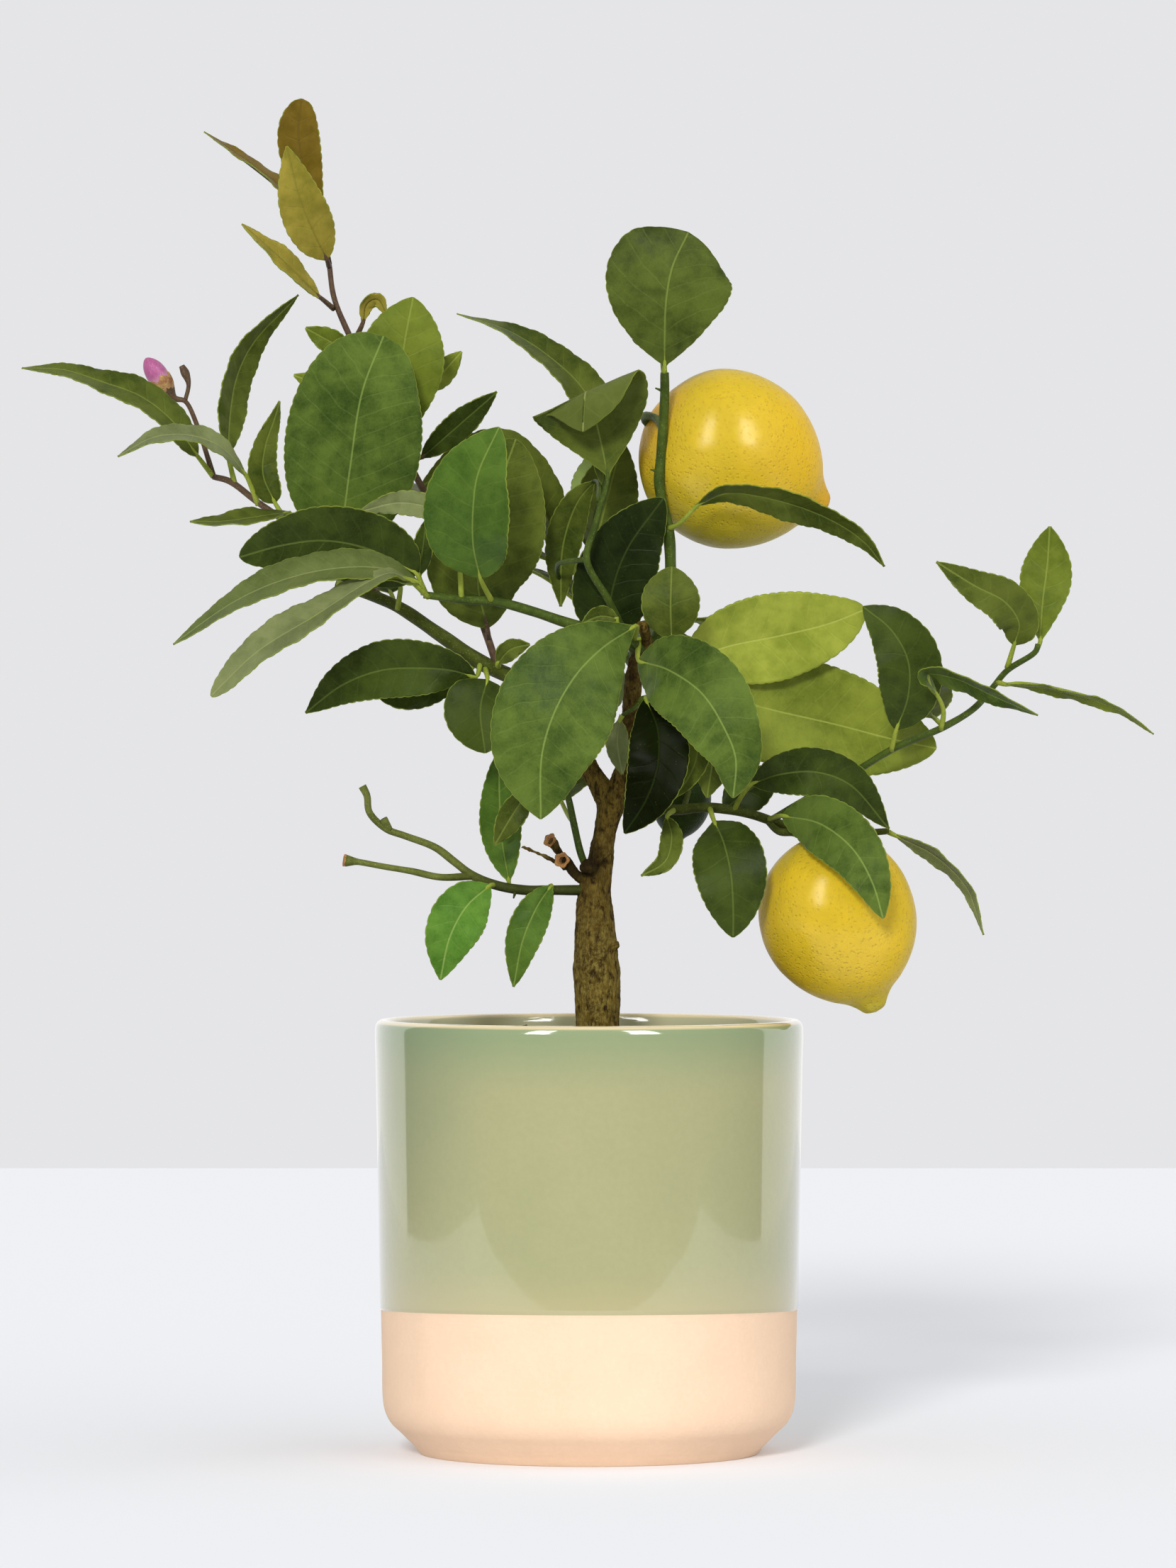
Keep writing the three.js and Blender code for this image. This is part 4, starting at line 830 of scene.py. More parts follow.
FRONT_SHOOT = Shoot(stems=[
    [[23, -1, 339, 2.2], [18, -9, 342.5, 2.3], [9, -15, 346, 2.3], [-9, -19, 351, 2.3],
     [-24, -21, 356, 2.1], [-39, -21, 360, 1.9], [-54, -20, 361, 1.7], [-70, -19, 363, 1.6]],
], leaves=[
    Leaf("bright", 39, [-41, -21, 360], [[-46, -34, 370], [-49, -44, 384], [-49, -51, 400], [-47, -55, 414],
         [-38, -57, 434]], turn=[-22, -18], full=0.7, fold=0.4),
    Leaf("pale", 11, [-54, -20, 361], [[-57, -25, 390], [-66, -27, 399], [-80, -27, 402], [-98, -24, 398]],
         bend=[[-55, -22, 378]]),
    Leaf("dark", 32, [-70, -19, 363], [[-73, -19, 372], [-92, -23, 382], [-112, -24, 386], [-130, -22, 384],
         [-148, -18, 379]], turn=[-10, -10], belly=0.38, full=0.55),
    Leaf("dark", 9, [-69, -19, 363], [[-72, -18, 371], [-70.5, -20, 382], [-69, -20, 395]]),
    Leaf("grey_with_painted_sheen", 23, [-69, -20, 363], [[-72, -26, 368], [-87, -35, 374], [-108, -41, 374],
         [-130, -43, 369], [-150, -41, 360], [-176, -34, 342]], turn=[52, 56], belly=0.4),
    Leaf("pale", 23, [-68, -20, 362], [[-76, -30, 369], [-84, -40, 372], [-94, -48, 368], [-116, -56, 354],
         [-140, -60, 339], [-160, -60, 320]], turn=[66, 46], belly=0.58, full=0.55),
    Leaf("grass", 50, [19, -9, 344], [[20, -20, 350], [5, -38, 340], [-6, -47, 328.5], [-15, -54, 312.5],
         [-20, -57, 295], [-20.5, -55, 268]], belly=0.58, full=0.78, fold=0.12),
    Leaf("grass", 37, [21, -6, 343], [[21, -14, 335], [34, -33, 331], [48, -47, 321], [57, -53, 307],
         [62, -54, 294], [61, -51, 277]], full=0.7, fold=0.14),
    Leaf("mid", 9, [10, -15, 346], [[12, -19, 353], [5, -21, 354], [-3, -22, 351]]),
])

CENTRE_SHOOT = Shoot(stems=[
    [[20, 1, 336, 1.6], [14.5, 0, 348, 1.6], [8, -7, 361, 1.6], [-1, -12, 378, 1.5], [2.5, -13, 392, 1.4],
     [6, -13, 405, 1.3]],
], leaves=[
    Leaf("folded", 51, [6, -13, 404], [[8, -12, 413], [5, -8, 428], [1, -11, 444], [-1, -17, 449],
         [-2, -23, 444], [-2.5, -26, 432]], belly=0.6, full=0.8, fold=0.05, rolled=True),
    Leaf("mid", 21, [5, -13, 402], [[6, 6, 409], [5, 12, 430], [-2, 13, 449], [-16, 12, 463],
         [-34, 10, 474.5], [-56, 6, 482]], turn=[10, 78]),
    Leaf("mid", 16, [4, -12, 403], [[2, 14, 411], [-5, 18, 402], [-11, 19, 384], [-12, 17, 358]],
         bend=[[4, 6, 410]]),
    Leaf("mid", 27, [6, -13, 404], [[2, 26, 381], [7, 33, 401], [14, 32, 428]], bend=[[3, 8, 398]],
         full=0.7),
    Leaf("mid", 27, [-1, -12, 378], [[-12, 26, 368], [-15, 30, 386], [-24, 32, 409], [-37, 31, 423],
         [-53, 29, 420], [-72, 25, 408]], bend=[[-13, 5, 376]], turn=[66, 20]),
])

UPRIGHT_SHOOT = Shoot(stems=[
    [[26, 1, 341, 2.4], [30, 1, 348, 2.5], [34, 2, 360, 2.5], [34.5, 3, 375, 2.4], [33.5, 3, 391, 2.4],
     [31, 3, 402, 2.3], [29.7, 3, 411, 2.3], [30.3, 3, 420, 2.2], [31.2, 2, 432, 2.1], [32, 0, 447, 2],
     [32, -2, 457, 1.8]],
    [[31, 3, 434, 1.6], [28, 12, 438, 1.6], [24.5, 20, 438.5, 1.9], [25, 24.5, 437.5, 3.4],
     [29, 26, 436, 3.4]],
    [[32, 0, 449, 0.9], [28, -1, 450.5, 0.3]],
    [[30, 3, 415, 0.9], [26, 2, 416, 0.3]],
], leaves=[
    Leaf("moss", 54, [32, -2, 456], [[32, -2, 460], [32, -6, 471], [32.5, -8, 486], [35, -6, 501],
         [42, 2, 516.5]], belly=0.6, full=0.62, fold=0.1),
    Leaf("mid", 19, [33.5, 2, 391], [[46, -12, 401], [58, -20, 406], [76, -26, 404], [100, -28, 396],
         [116, -26, 386], [125, -22, 375]], bend=[[38, -4, 393]], turn=[56, 50]),
    Leaf("mid", 25, [33, -1, 356], [[35, -14, 344], [34.5, -18, 358], [35, -14, 375]], bend=[[35, -8, 348]],
         belly=0.5, full=0.62),
    Leaf("deep", 35, [30, 0, 346], [[9, 4, 345], [9.5, 3, 363], [16, 0, 382], [31.5, -3, 404]],
         bend=[[20, 6, 344]], belly=0.37, full=0.62),
    Leaf("mid", 28, [34, 3, 352], [[39, 12, 353], [50, 34, 352], [62, 58, 344]], face=[0.2, 0.3, 1]),
    Leaf("dark", 30, [32, -1, 452], [[31, 8, 463], [30, 20, 484], [29, 32, 502]], face=[0, 1, 0.3]),
])

FORK_SPRAY = Shoot(stems=[
    [[18, 0, 317, 1.8], [27, -2, 320, 1.7], [35, 2, 325, 1.6], [42, 8, 328, 1.3]],
    [[22, -1, 318, 1], [19, -7, 315, 0.9], [14, -9, 312, 0.8]],
], leaves=[
    Leaf("shade", 26, [27, -2, 320], [[24, -18, 319], [29, -28, 306], [29, -33, 291], [24, -34, 276],
         [15, -31, 262]], full=0.7),
    Leaf("mid", 15, [31, 0, 322], [[34, -8, 317], [43, -15, 307], [46, -20, 297], [43, -21, 287],
         [36, -20, 277]], turn=[30, 25]),
    Leaf("mid", 20, [35, 1, 324], [[43, -10, 314], [52, -16, 299], [50, -16, 277]]),
    Leaf("pale", 10, [14, -9, 312], [[13, -9, 310], [12, -12, 300], [14, -12, 287]]),
    Leaf("citron", 38, [40, 6, 327], [[42, 8, 335], [58, 14, 341], [82, 18, 346], [102, 18, 351],
         [117, 14, 357]], turn=[10, 0], full=0.56, fold=0.12),
    Leaf("lime", 49, [42, 8, 328], [[46, 12, 324], [73, 22, 315.5], [105, 26, 308], [130, 25, 301.5],
         [147, 19, 298]], turn=[-10, -10], full=0.6, fold=0.1),
    Leaf("mid", 32, [38, 4, 326], [[42, 18, 322], [52, 42, 318], [60, 64, 308]], face=[0.2, 0.3, 1]),
])

RIGHT_BRANCH = Shoot(stems=[
    [[12, 0, 277, 2.6], [24, 2, 273.5, 2.3], [36, 3, 272, 2.2], [51, 4, 273, 2.1], [69, 4, 270, 2],
     [81, 6, 266, 1.9], [96, 12, 262.5, 1.7], [112, 14, 262, 1.6], [127, 12, 263, 1.4]],
    [[75, 5, 268, 1.5], [80, 0, 263, 1.5], [86, -6, 262.5, 1.6], [91, -9, 262, 2.6], [94, -9, 258, 3.6]],
    [[40, 3, 272, 1.2], [42, 13, 281, 1.2], [41, 21, 291, 1.4], [40.5, 22, 287, 2.4]],
], leaves=[
    Leaf("dark", 21, [61, 4, 271], [[69, -6, 283], [81, -14, 287], [96, -19, 288], [110, -18, 283],
         [127, -10, 264]], bend=[[64, -1, 277]], turn=[-5, 5], belly=0.42),
    Leaf("grass", 26, [76, 4, 268], [[82, -10, 269.5], [98, -28, 266], [112, -42, 255], [120, -48, 241],
         [124.5, -50, 226]], full=0.7),
    Leaf("pale", 11, [126, 12, 263], [[130, 12, 261], [146, 11, 253], [160, 9, 239], [167, 7, 219]],
         turn=[56, 62], belly=0.38),
    Leaf("dark", 31, [51, 4, 273], [[53, -10, 267], [57, -24, 258], [60, -32, 245], [61, -34, 231],
         [61, -32, 218]], belly=0.5, full=0.7),
    Leaf("dark", 19, [52, 4, 273], [[57, 12, 272], [66, 18, 279], [81, 21, 290]]),
    Leaf("mid", 10, [36, 2, 272], [[33, -8, 269], [35, -17, 260], [32, -23, 250], [22, -24, 244]]),
    Leaf("dark", 28, [97, 12, 262], [[103, 24, 258], [112, 46, 252], [118, 64, 242]], face=[0.3, 0.3, 1]),
])

RIGHT_SHOOT = Shoot(stems=[
    [[76, 5, 267, 1.6], [93, 6, 277, 1.6], [114, 4, 289, 1.5], [129, 0, 298, 1.5], [150, -8, 307, 1.5],
     [163, -15, 315, 1.4], [171, -20, 324, 1.3], [177, -25, 331, 1.3], [189, -32, 339, 1.2],
     [190, -33, 342, 1.2]],
], leaves=[
    Leaf("dark", 28, [128, 0, 297], [[130, -6, 306], [135, -11, 320], [135, -14, 335], [128, -14, 348],
         [116, -10, 358]], turn=[5, 5], full=0.7),
    Leaf("grass", 15, [149, -8, 306], [[147, -20, 321], [143, -27, 329], [154, -36, 328], [172, -43, 320],
         [190, -46, 312]], bend=[[150, -14, 314]], turn=[60, 66]),
    Leaf("mid", 19, [177, -25, 332], [[180, -29, 342], [182, -36, 351], [176, -42, 360], [163, -46, 367],
         [147, -46, 377]], belly=0.36, full=0.8),
    Leaf("fresh", 22, [189, -32, 339], [[191, -30, 343], [192, -27, 360], [194, -25, 376], [195, -26, 392]],
         belly=0.55),
    Leaf("fresh", 10, [173, -22, 326], [[177, -28, 325], [195, -38, 323], [223, -50, 315], [239, -55, 304]],
         turn=[68, 68]),
    Leaf("mid", 26, [150, -8, 307.5], [[146, 4, 311], [140, 24, 321], [133, 44, 327]], face=[-0.2, 0.3, 1]),
])

LOW_BRANCH = Shoot(stems=[
    [[2, 0, 238, 2.2], [-15, -4, 238, 2.1], [-27, -3, 238, 2.1], [-39, -1, 240, 2], [-49, 0, 244, 1.9],
     [-57, 2, 250, 1.7], [-65, 3, 256, 1.6], [-78, 4, 261, 1.5], [-86, 4, 264, 1.5], [-93, 3, 271, 1.4],
     [-94, 2, 278, 1.5], [-96, 2, 282, 1.7]],
    [[-49, 0, 244, 1.6], [-63, -2, 243.5, 1.5], [-75, -4, 246, 1.4], [-87, -6, 248, 1.3],
     [-98, -7, 250, 1.3], [-103, -7, 250.5, 2.6]],
    [[-31, -3, 238, 0.9], [-32, -4, 234.5, 0.3]],
    [[-84, 4, 263, 1.3], [-87, 2, 268, 1.9]],
], leaves=[
    Leaf("vivid", 24, [-40, -1, 240], [[-42, -6, 240], [-52, -12, 231], [-59, -15, 218], [-63, -14, 200]]),
    Leaf("bright", 16, [-16, -4, 238], [[-16, -8, 240], [-22, -14, 231], [-28, -18, 217], [-32, -18, 197]]),
    Leaf("bright", 18, [-34, -2, 239], [[-34, 5, 242], [-37, 9, 260], [-38, 9, 280], [-38, 6, 298]]),
])

GREEN_TWIG = Shoot(stems=[
    [[1, -2, 244, 1.5], [-3, -5, 252, 1.5], [-6, -8, 264, 1.5], [-8.5, -10, 276, 1.4],
     [-12, -12, 288, 1.2]],
], leaves=[
    Leaf("mid", 12, [-9, -10, 277], [[-25, -11, 281], [-33, -13, 269], [-40, -12, 257]],
         bend=[[-17, -11, 283]]),
    Leaf("mid", 32, [-6, -8, 266], [[-12, 18, 276], [-15, 40, 286], [-16, 62, 284]], bend=[[-9, 6, 270]],
         face=[0, -0.2, 1]),
])

BACK_SHOOT = Shoot(stems=[
    [[20, 0, 331, 2], [14, 14, 340, 1.9], [8, 32, 354, 1.8], [3, 52, 370, 1.6], [0, 70, 388, 1.4]],
], leaves=[
    Leaf("mid", 27, [0, 70, 387], [[1, 76, 393], [6, 84, 410], [9, 88, 430]], face=[0, 1, 0.3]),
    Leaf("mid", 32, [3, 52, 370], [[10, 58, 376], [26, 74, 388], [36, 90, 392]], face=[0.3, 0.4, 1]),
    Leaf("dark", 30, [4, 50, 368], [[-4, 56, 372], [-22, 70, 380], [-38, 82, 378]], face=[-0.3, 0.4, 1]),
    Leaf("mid", 28, [8, 32, 354], [[-3, 38, 360], [-19, 54, 371], [-34, 68, 377]], face=[-0.3, 0.5, 1]),
    Leaf("mid", 32, [9, 30, 352], [[16, 38, 350], [28, 60, 344], [36, 84, 330]], face=[0.3, 0.4, 1]),
    Leaf("dark", 30, [14, 14, 340], [[8, 24, 334], [2, 44, 322], [0, 66, 304]], face=[0, 0.6, 1]),
])


# ---- Pot and soil ----
SOIL_LUMP, SOIL_CRUMB = 1.3, 1.1  # how high the soil's broad lumps and its crumbs stand
SOIL_STEP = 1.7
CRUMB_COUNT, CHIP_EVERY, RED_CHIP_EVERY = 950, 9, 5
CRUMB_SIZES = (0.6, 0.8, 1.1, 1.5, 2.1)
FIBRE_COUNT = 26


def pot_outline():
    """The pot's section in metres, as [radius, height], from under its foot over the lip to its floor."""
    r, inner = POT_RADIUS, POT_RADIUS - POT_WALL
    base = [(FOOT_RADIUS + 1.8, 3), (r - 11.2, 8.6), (r - 6.4, 13.4), (r - 3.8, 19.5), (r - 3, 40),
            (r - 2.55, GLAZE_EDGE_HEIGHT - 0.5)]
    body = [(r - 2.4 + GLAZE_THICKNESS, GLAZE_EDGE_HEIGHT + 0.5), (r - 1.75, 80), (r - 1.1, 120),
            (r - 0.3, 165), (r, 177.5), (r - 0.4, 181.2), (r - 1.9, 183), (r - 3.6, POT_HEIGHT),
            (r - 5.4, 182.2), (inner, 179), (inner, 165)]
    hollow = [(inner - 2.3, 40), (inner - 6.3, 16), (inner - 14, POT_FLOOR), (0, POT_FLOOR)]
    foot = [(0, 0), (FOOT_RADIUS - 0.6, 0), (FOOT_RADIUS, 0.4)]
    return in_metres(foot) + rounded(base, 1.5) + rounded(body, 1.1) + in_metres(hollow)


def build_pot():
    """The pot, glazed but for the outside below the glaze's edge, which dips as the real one does."""
    shape = turned(pot_outline(), 144)
    for face in shape.faces:
        middle = face.calc_center_median()
        away = Vector((middle.x, middle.y, 0)).normalized()
        outside = face.normal.dot(away) > 0.02 or face.normal.z < -0.5
        face.material_index = 1 if outside and middle.z < GLAZE_EDGE_HEIGHT * MM else 0
    for vert in shape.verts:
        x, y, z = vert.co / MM
        near = max(0, 1 - abs(z - GLAZE_EDGE_HEIGHT) / DIP_REACH)
        if math.hypot(x, y) > POT_RADIUS - 4:
            vert.co.z -= DIP_TILT * near * y / POT_RADIUS * MM
    pot = finished_piece("pot_body", shape, [glaze_finish(), clay_finish()], ["pot"])
    pot.data.set_sharp_from_angle(angle=math.radians(50))


def soil_rise(across, depth):
    """How high the soil stands above its level, in millimetres."""
    lump = math.sin(across * 0.21 + depth * 0.13) + math.sin(across * 0.11 - depth * 0.29 + 1.7)
    crumb = noise.fractal((across * 0.16, depth * 0.16, 3), 0.8, 2.2, 5)
    return SOIL_LUMP * lump + SOIL_CRUMB * crumb


def on_soil(across, depth, lift):
    return metres(across, depth, SOIL_HEIGHT + soil_rise(across, depth) + lift)


def build_soil():
    edge = POT_RADIUS - POT_WALL - SOIL_GAP
    floor = POT_FLOOR + SOIL_GAP
    wall = [(0, floor), (edge - 14.6, floor), (edge - 6.4, 16.6), (edge - 2.3, 40), (edge, 165)]
    rings = [(edge - SOIL_STEP * k, SOIL_HEIGHT) for k in range(int(edge / SOIL_STEP))]
    shape = turned(in_metres([*wall, *rings, (0, SOIL_HEIGHT)]), 150)
    for vert in shape.verts:
        if vert.co.z > (SOIL_HEIGHT - 0.01) * MM:
            vert.co.z += soil_rise(vert.co.x / MM, vert.co.y / MM) * MM
    finished_piece("soil_bed", shape, [soil_finish("potting_soil", "1C130C", "5A4430")], ["soil"])
    draw = random.Random(41)
    crumbs = bmesh.new()
    for k in range(CRUMB_COUNT):
        lay_crumb(crumbs, draw, k, edge)
    for _ in range(FIBRE_COUNT):
        lay_fibre(crumbs, draw, edge)
    finishes = [soil_finish("soil_crumb", "241911", "66503A"), soil_finish("bark_chip", "3E2A1A", "7C5C3C"),
                soil_finish("red_chip", "6E3420", "A4603C")]
    finished_piece("soil_crumbs", crumbs, finishes)


def lay_crumb(crumbs, draw, k, edge):
    """A loose crumb on the soil, or now and then a chip of bark or of red clay."""
    reach, angle = edge * math.sqrt(draw.uniform(0.02, 0.93)), draw.uniform(0, 2 * math.pi)
    size = draw.choice(CRUMB_SIZES) * draw.uniform(0.8, 1.3)
    chip = k % CHIP_EVERY == 0
    grain = bmesh.new()
    if chip:
        bmesh.ops.create_cube(grain, size=1)
        bmesh.ops.bevel(grain, geom=grain.edges[:], offset=0.16, offset_type="OFFSET", affect="EDGES",
                        segments=1, profile=0.5, material=-1)
        stretch = (draw.uniform(3, 7), draw.uniform(1.6, 3), draw.uniform(0.8, 1.6))
    else:
        bmesh.ops.create_icosphere(grain, subdivisions=1, radius=1)
        stretch = [size * draw.uniform(0.7, 1.3) for _ in range(3)]
    for vert in grain.verts:
        vert.co = Vector(s * c * draw.uniform(0.85, 1.15) for s, c in zip(stretch, vert.co))
    turn = Matrix.Rotation(draw.uniform(0, 6.3), 4, "Z") @ Matrix.Rotation(draw.gauss(0, 0.3), 4, "X")
    spot = on_soil(reach * math.cos(angle), reach * math.sin(angle), 0.25 * min(stretch))
    laid = Matrix.Translation(spot) @ turn @ Matrix.Scale(MM, 4)
    bmesh.ops.transform(grain, matrix=laid, verts=grain.verts)
    append(crumbs, grain, 2 if chip and k % RED_CHIP_EVERY == 0 else 1 if chip else 0)


def lay_fibre(crumbs, draw, edge):
    """A fine root fibre that curls over the soil, within its edge."""
    angle, reach = draw.uniform(0, 6.3), draw.uniform(20, 72)
    heading, length = draw.uniform(0, 6.3), draw.uniform(8, 20)
    route = []
    for step in (0, 0.35, 0.7, 1):
        across = reach * math.cos(angle) + length * step * math.cos(heading)
        depth = reach * math.sin(angle) + length * step * math.sin(heading + step)
        pull = min(1, (edge - 3) / max(math.hypot(across, depth), 1))
        route.append(on_soil(across * pull, depth * pull, 1 + 2 * step * draw.random()))
    line, widths, _ = smooth_line(route, 2 * MM, [radius * MM for radius in (0.5, 0.45, 0.4, 0.25)])
    rod(crumbs, line, widths, 5, material=1)


# ---- Trunk ----
def grown_together(draft):
    """One skin over overlapping rods, by a voxel remesh with its corners softened."""
    block = new_object("trunk_draft", draft)
    remesh = block.modifiers.new("grow_together", "REMESH")
    remesh.mode = "VOXEL"
    remesh.voxel_size = 0.62 * MM
    soften = block.modifiers.new("soften", "SMOOTH")
    soften.factor = 0.5
    soften.iterations = 3
    grown = bpy.data.meshes.new_from_object(block.evaluated_get(bpy.context.evaluated_depsgraph_get()))
    bpy.data.objects.remove(block)
    shape = bmesh.new()
    shape.from_mesh(grown)
    bpy.data.meshes.remove(grown)
    shape.normal_update()
    return shape


def build_trunk():
    """Trunk, limbs and cut stubs, grown together, then roughened into bark."""
    draft = bmesh.new()
    for line, sides in ((TRUNK_LINE, 28), (LEFT_LIMB_LINE, 20), (RIGHT_LIMB_LINE, 20), (CUT_STUB_LINE, 14)):
        stem_rod(draft, line, 1.5, sides, 0.045)
    for scar in TRUNK_SCARS:
        stem_rod(draft, scar, 0.8, 12, 0.08)
    bark = grown_together(draft)
    for vert in bark.verts:
        x, y, z = vert.co / MM
        cracks = noise.multi_fractal((x * 0.55, y * 0.55, z * 0.14), 0.7, 2.1, 3)
        swell = noise.noise((x * 0.12, y * 0.12, z * 0.09))
        vert.co += vert.normal * MM * (0.42 * (cracks - 0.9) + 0.35 * swell)
    finished_piece("trunk_wood", bark, [bark_finish()], ["trunk"])


# ---- Leafy stems ----
# Each kind of leaf: the two greens of its upper face, its rib, its roughness, and where it is set its shine.
LEAF_KINDS = {
    "mid": ("2C370F", "525C20", "76843A", 0.38),
    "grass": ("283B13", "526426", "82964A", 0.36),
    "folded": ("2C370F", "4C561E", "76843A", 0.38),
    "moss": ("222B0C", "4C5820", "7A8840", 0.38),
    "dark": ("202A0C", "384516", "5E6C30", 0.36),
    # deep: a dark green, darkened further as painted shade.
    "deep": ("121A08", "242F10", "3E4A20", 0.32, 0.08),
    "bright": ("314A16", "4C6624", "7E9244", 0.36),
    "fresh": ("485616", "667226", "869242", 0.38),
    # pale: a grey-green that is partly the leaf's own tone and partly painted sheen.
    "pale": ("58613A", "767E50", "8C9460", 0.38),
    "vivid": ("38601A", "5C8230", "90A858", 0.36),
    # A grey-green leaf whose paleness is painted sheen.
    "grey_with_painted_sheen": ("465226", "5C6736", "88905E", 0.42),
    # shade: near black, painted shade over a dark green, for a leaf deep in the crown.
    "shade": ("080C02", "111705", "26300F", 0.3, 0.05),
    "lime": ("58641E", "78822E", "9CA64C", 0.4),
    "citron": ("6E7A26", "949C3C", "A8B054", 0.4),
    "olive": ("6A6420", "948636", "6E6824", 0.38),
    "bronze": ("54440F", "705C1E", "5A481C", 0.38),
}
# The stems' skins: base, streaks, and for some a roughness and where across, in metres, they begin to darken.
STEM_SKINS = {
    "petiole": ("74822A", "909A3A"),
    "green_stem": ("2E3C12", "48581E"),
    "dark_stem": ("30380F", "4C541E", 0.6),
    "twig": ("4A501E", "6A7036", 0.6, -0.062),
    "purple_stem": ("43312B", "5C4A34"),
}
# Each shoot's node, limbs and slot, with the skins of its stalks and of its stems.
SHOOTS = (
    ("left_branch", LEFT_BRANCH, "leaf", "petiole", "dark_stem"),
    ("top_shoot", TOP_SHOOT, "young_leaf", "purple_stem", "purple_stem"),
    ("left_shoot", LEFT_SHOOT, "leaf", "petiole", "purple_stem"),
    ("low_branch", LOW_BRANCH, "leaf", "petiole", "twig"),
    ("right_branch", RIGHT_BRANCH, "leaf", "petiole", "dark_stem"),
    ("centre_shoot", CENTRE_SHOOT, "leaf", "green_stem", "green_stem"),
    ("front_shoot", FRONT_SHOOT, "leaf", "petiole", "green_stem"),
    ("upright_shoot", UPRIGHT_SHOOT, "leaf", "petiole", "green_stem"),
    ("fork_spray", FORK_SPRAY, "leaf", "petiole", "green_stem"),
    ("right_shoot", RIGHT_SHOOT, "leaf", "petiole", "green_stem"),
    ("green_twig", GREEN_TWIG, "leaf", "petiole", "green_stem"),
    ("back_shoot", BACK_SHOOT, "leaf", "petiole", "green_stem"),
)


def leaf_finishes():
    """Each kind of leaf's upper face, under face and margin, in the order that Solidify steps through."""
    under = underside_finish("leaf_under", "60703A", "768649", "8E9C5C")
    fold_under = underside_finish("leaf_fold_under", "4C5622", "5E682E", "7E8648")
    margin = stem_finish("leaf_margin", "76822E", "68762A")
    finishes = []
    for kind, look in LEAF_KINDS.items():
        finishes += [leaf_finish("leaf_" + kind, *look), fold_under if kind == "folded" else under, margin]
    return finishes


STOUT_STEM = 1.2  # past that radius a stem has more sides and longer steps


def build_shoot(node, limbs, skins, finishes):
    """A shoot's blades as one thin piece, and its stems, stalks and midribs as another."""
    kinds = list(LEAF_KINDS)
    blades = bmesh.new()
    wood = bmesh.new()
    for points in limbs.stems:
        stout = max(point[3] for point in points) > STOUT_STEM
        stem_rod(wood, points, 1.4 if stout else 0.7, 12 if stout else 8, 0.06, 1)
    for leaf in limbs.leaves:
        stations, length = blade_stations(leaf)
        blade(blades, leaf, stations, length, 3 * kinds.index(leaf.kind))
        petiole(wood, leaf, stations)
    green = finished_piece(node + "_leaves", blades, finishes, [node])
    shell = green.modifiers.new("thickness", "SOLIDIFY")
    shell.thickness = BLADE_THICKNESS * MM
    shell.offset = 0
    shell.material_offset = 1
    shell.material_offset_rim = 2
    finished_piece(node + "_stems", wood, skins, [node])


# ---- Dry cups, fruit and bud ----
# Outlines turned about their own axis, as [radius, height]: parts of the whole, but millimetres for the cup.
CALYX_OUTLINE = ((0.8, 0.3), (1.05, 0.55), (1.0, 0.85), (0.72, 0.7), (0.5, 0.3), (0.25, 0.15))
LEMON_OUTLINE = (
    (0, 0), (0.12, 0.004), (0.27, 0.02), (0.47, 0.055), (0.69, 0.12), (0.86, 0.21), (0.97, 0.33),
    (1, 0.45), (0.955, 0.58), (0.83, 0.7), (0.67, 0.79), (0.48, 0.86), (0.31, 0.905), (0.21, 0.945),
    (0.13, 0.985), (0, 1),
)
BUD_OUTLINE = (
    (0, 0), (0.3, 0.01), (0.62, 0.1), (0.92, 0.28), (1, 0.5), (0.86, 0.72), (0.56, 0.88), (0.25, 0.97),
    (0, 1),
)
CUP_OUTLINE = (
    (0, -4.6), (1.5, -4.4), (1.9, -3.2), (2.5, -1.8), (3.5, -0.2), (4.4, 1.6), (4.85, 3.4), (4.9, 5.2),
    (4.4, 5.4), (3, 2), (0, 1),
)
CUP_LOBE_START = 2.6
# The dry cups: name, place, the point that each opens toward, and radius.
DRY_CUPS = (
    ("front_calyx", (-11, -6, 250.5), (-14, -16, 251.5), 3.1),
    ("side_calyx", (-15.5, -4, 258.5), (-19, -8, 260.5), 2.8),
    ("twig_end_calyx", (-102, -7, 250.4), (-112, -8, 252), 2.4),
)
CALYX_LOBES = 5
LEMON_END = 0.16  # the part of a lemon's length, at either end, that is creased


def build_calyx(name, spot, toward, radius, finishes):
    """The dry cup that a fallen fruit leaves on its stub: a lobed rim round a sunken scar."""
    cup = bmesh.new()
    bmesh.ops.create_circle(cup, cap_ends=True, segments=20, radius=0.55)
    face = cup.faces[:]
    for reach, height in CALYX_OUTLINE:
        face = bmesh.ops.extrude_discrete_faces(cup, faces=face)["faces"]
        for vert in face[0].verts:
            around = math.atan2(vert.co.y, vert.co.x)
            lobe = 1 + 0.12 * math.cos(CALYX_LOBES * around) * (reach > 0.75)
            vert.co = Vector((reach * lobe * math.cos(around), reach * lobe * math.sin(around), height))
    aim = (place(toward) - place(spot)).to_track_quat("Z", "Y").to_matrix().to_4x4()
    bmesh.ops.transform(cup, matrix=Matrix.Translation(place(spot)) @ aim @ Matrix.Scale(radius * MM, 4),
                        verts=cup.verts)
    bmesh.ops.recalc_face_normals(cup, faces=cup.faces)
    for face in cup.faces:
        middle = face.calc_center_median() - place(spot)
        face.material_index = 1 if middle.length < 0.62 * radius * MM else 0
    finished_piece(name, cup, finishes)


def widen(shape, amount):
    """Widens or narrows a turned shape at each point by what amount(point, angle) gives."""
    for vert in shape.verts:
        point = vert.co / MM
        share = amount(point, math.atan2(point.y, point.x))
        vert.co.x *= share
        vert.co.y *= share


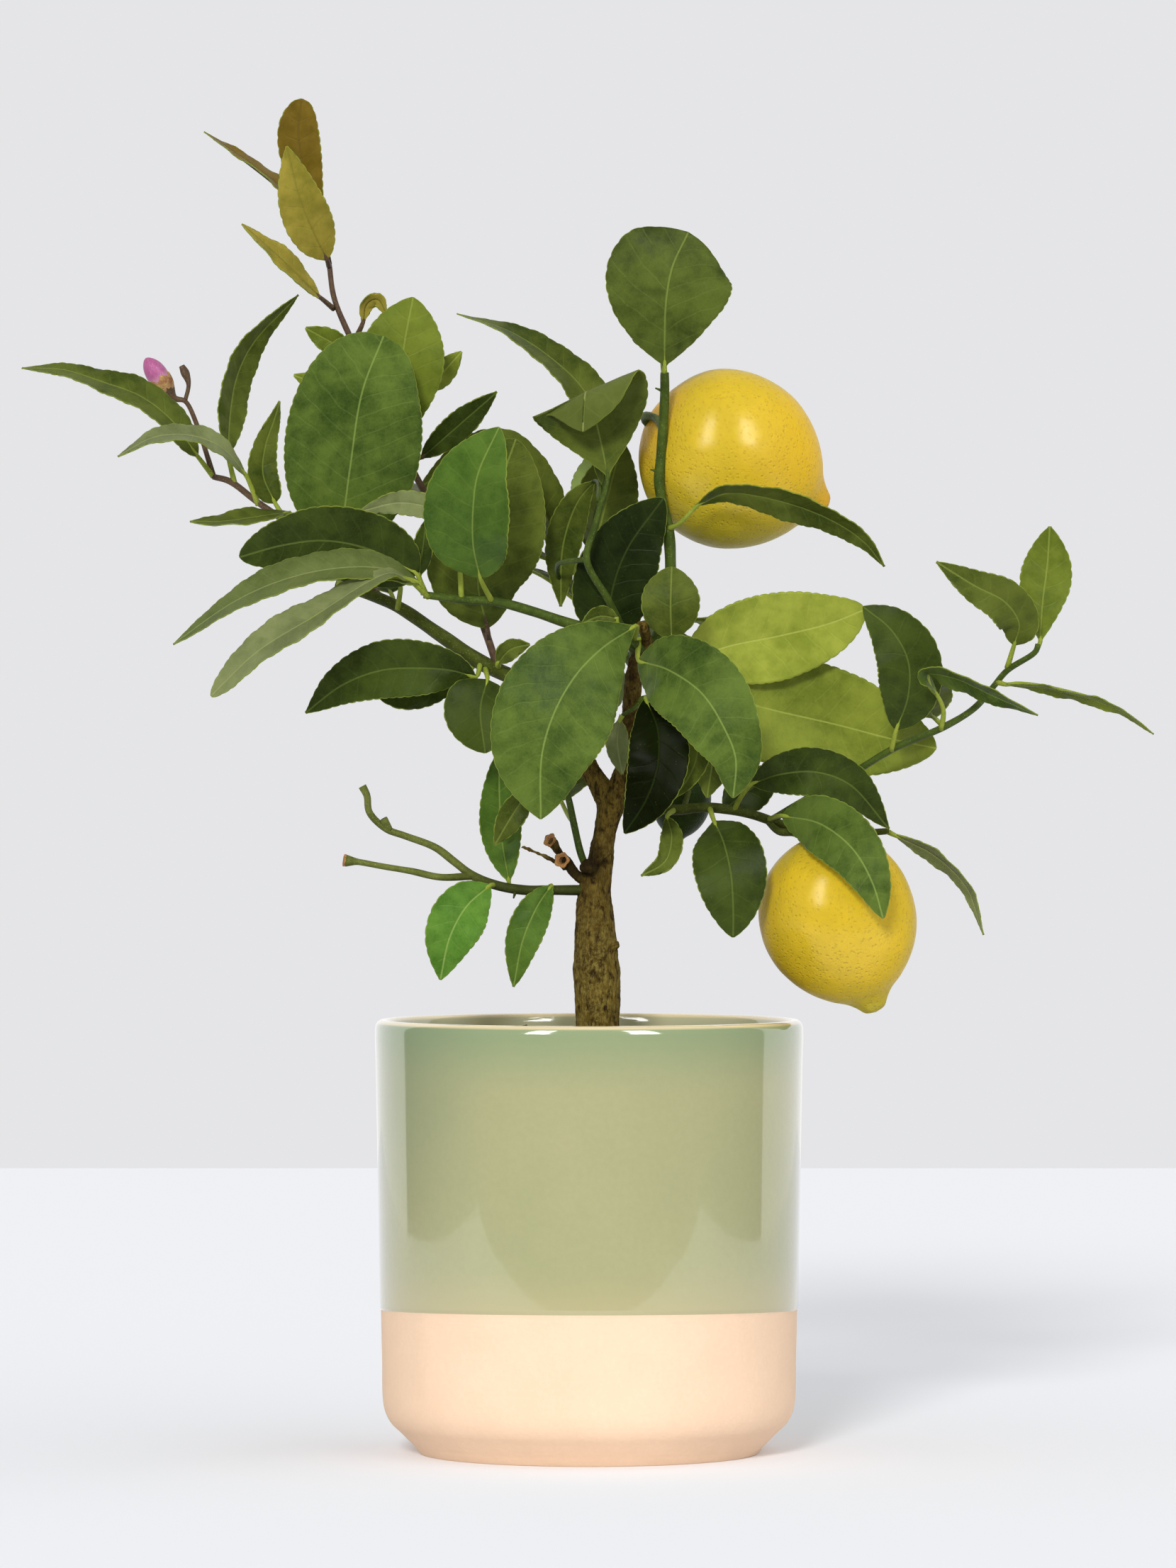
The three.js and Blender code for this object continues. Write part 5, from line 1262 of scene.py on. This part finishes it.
def stand_on_axis(shape, fruit):
    """Stands a shape turned about Z on the fruit's own axis, and maps how far along it each point lies."""
    base = place(fruit.stalk_end)
    axis = place(fruit.tip) - base
    along = shape.loops.layers.uv.new("along")
    for face in shape.faces:
        for corner in face.loops:
            corner[along].uv = (corner.vert.co.z / (fruit.length * MM), 0.5)
    turn = Vector((0, 0, 1)).rotation_difference(axis).to_matrix().to_4x4()
    bmesh.ops.transform(shape, matrix=Matrix.Translation(base) @ turn, verts=shape.verts)


def build_lemon(node, fruit, finish, steps):
    def lumpy(point, around):
        x, y, z = point
        along = z / fruit.length
        ends = max(0, 1 - along / LEMON_END) + max(0, (along - 1 + LEMON_END) / LEMON_END)
        crease = ends * 0.03 * math.cos(7 * around + 2 * math.sin(around))
        broad = noise.noise((x * 0.045, y * 0.045, z * 0.045))
        fine = noise.noise((x * 0.3, y * 0.3, z * 0.3))
        return 1 + crease + 0.012 * broad + 0.003 * fine

    spacing = 2 * math.pi * fruit.radius / steps
    shape = turned(rounded(LEMON_OUTLINE, spacing, fruit.radius, fruit.length), steps)
    widen(shape, lumpy)
    stand_on_axis(shape, fruit)
    finished_piece(node + "_peel", shape, [finish], [node])


def build_bud():
    """The closed flower: petals that wrap round each other, standing in a mottled calyx."""
    def wrapped(point, around):
        return 0.94 + 0.06 * abs(math.sin(2.5 * (around + 0.9 * point.z / BUD.length))) ** 0.35

    petals = turned(rounded(BUD_OUTLINE, 0.4, BUD.radius, BUD.length), 60)
    widen(petals, wrapped)
    stand_on_axis(petals, BUD)
    finished_piece("flower_bud_petals", petals, [petal_finish()], ["flower_bud"])
    cup = turned(rounded(CUP_OUTLINE, 0.3), 60)
    for vert in cup.verts:
        x, y, z = vert.co / MM
        rim = max(0, z - CUP_LOBE_START)
        vert.co.z += 0.35 * rim * math.cos(CALYX_LOBES * math.atan2(y, x)) * MM
    stand_on_axis(cup, BUD)
    young = calyx_finish("young_calyx", "7E5034", "B0905A")
    finished_piece("flower_bud_calyx", cup, [young])


# ---- The whole tree ----
def build_tree():
    finishes = leaf_finishes()
    skins = {name: stem_finish(name, *look) for name, look in STEM_SKINS.items()}
    for node, limbs, slot, stalk, stem in SHOOTS:
        build_shoot(node, limbs, [skins[stalk], skins[stem]], finishes)
    dry = [calyx_finish("dry_calyx", "A87A46", "8C6234"), calyx_finish("scar", "4E3418", "6A4A26")]
    for name, spot, toward, radius in DRY_CUPS:
        build_calyx(name, spot, toward, radius, dry)
    sunny = peel_finish("upper_peel", "B89E28", "CDAE2A", "C08A24", pore=560, gloss=0.75, tip_warmth_and_light=0.5, low=0.42)
    ripe = peel_finish("lemon_peel", "BCA024", "D0AE26", "A0942C", pore=560, gloss=0.75, tip_warmth_and_light=0, low=0.205)
    green = peel_finish("unripe_peel", "222E12", "34441C", "1C280E", pore=900, gloss=0.02, tip_warmth_and_light=0, low=0)
    build_lemon("upper_lemon", UPPER_LEMON, sunny, 150)
    build_lemon("lower_lemon", LOWER_LEMON, ripe, 140)
    build_lemon("unripe_lemon", UNRIPE_LEMON, green, 72)
    build_bud()


add_camera()
add_studio()
build_pot()
build_soil()
build_trunk()
build_tree()
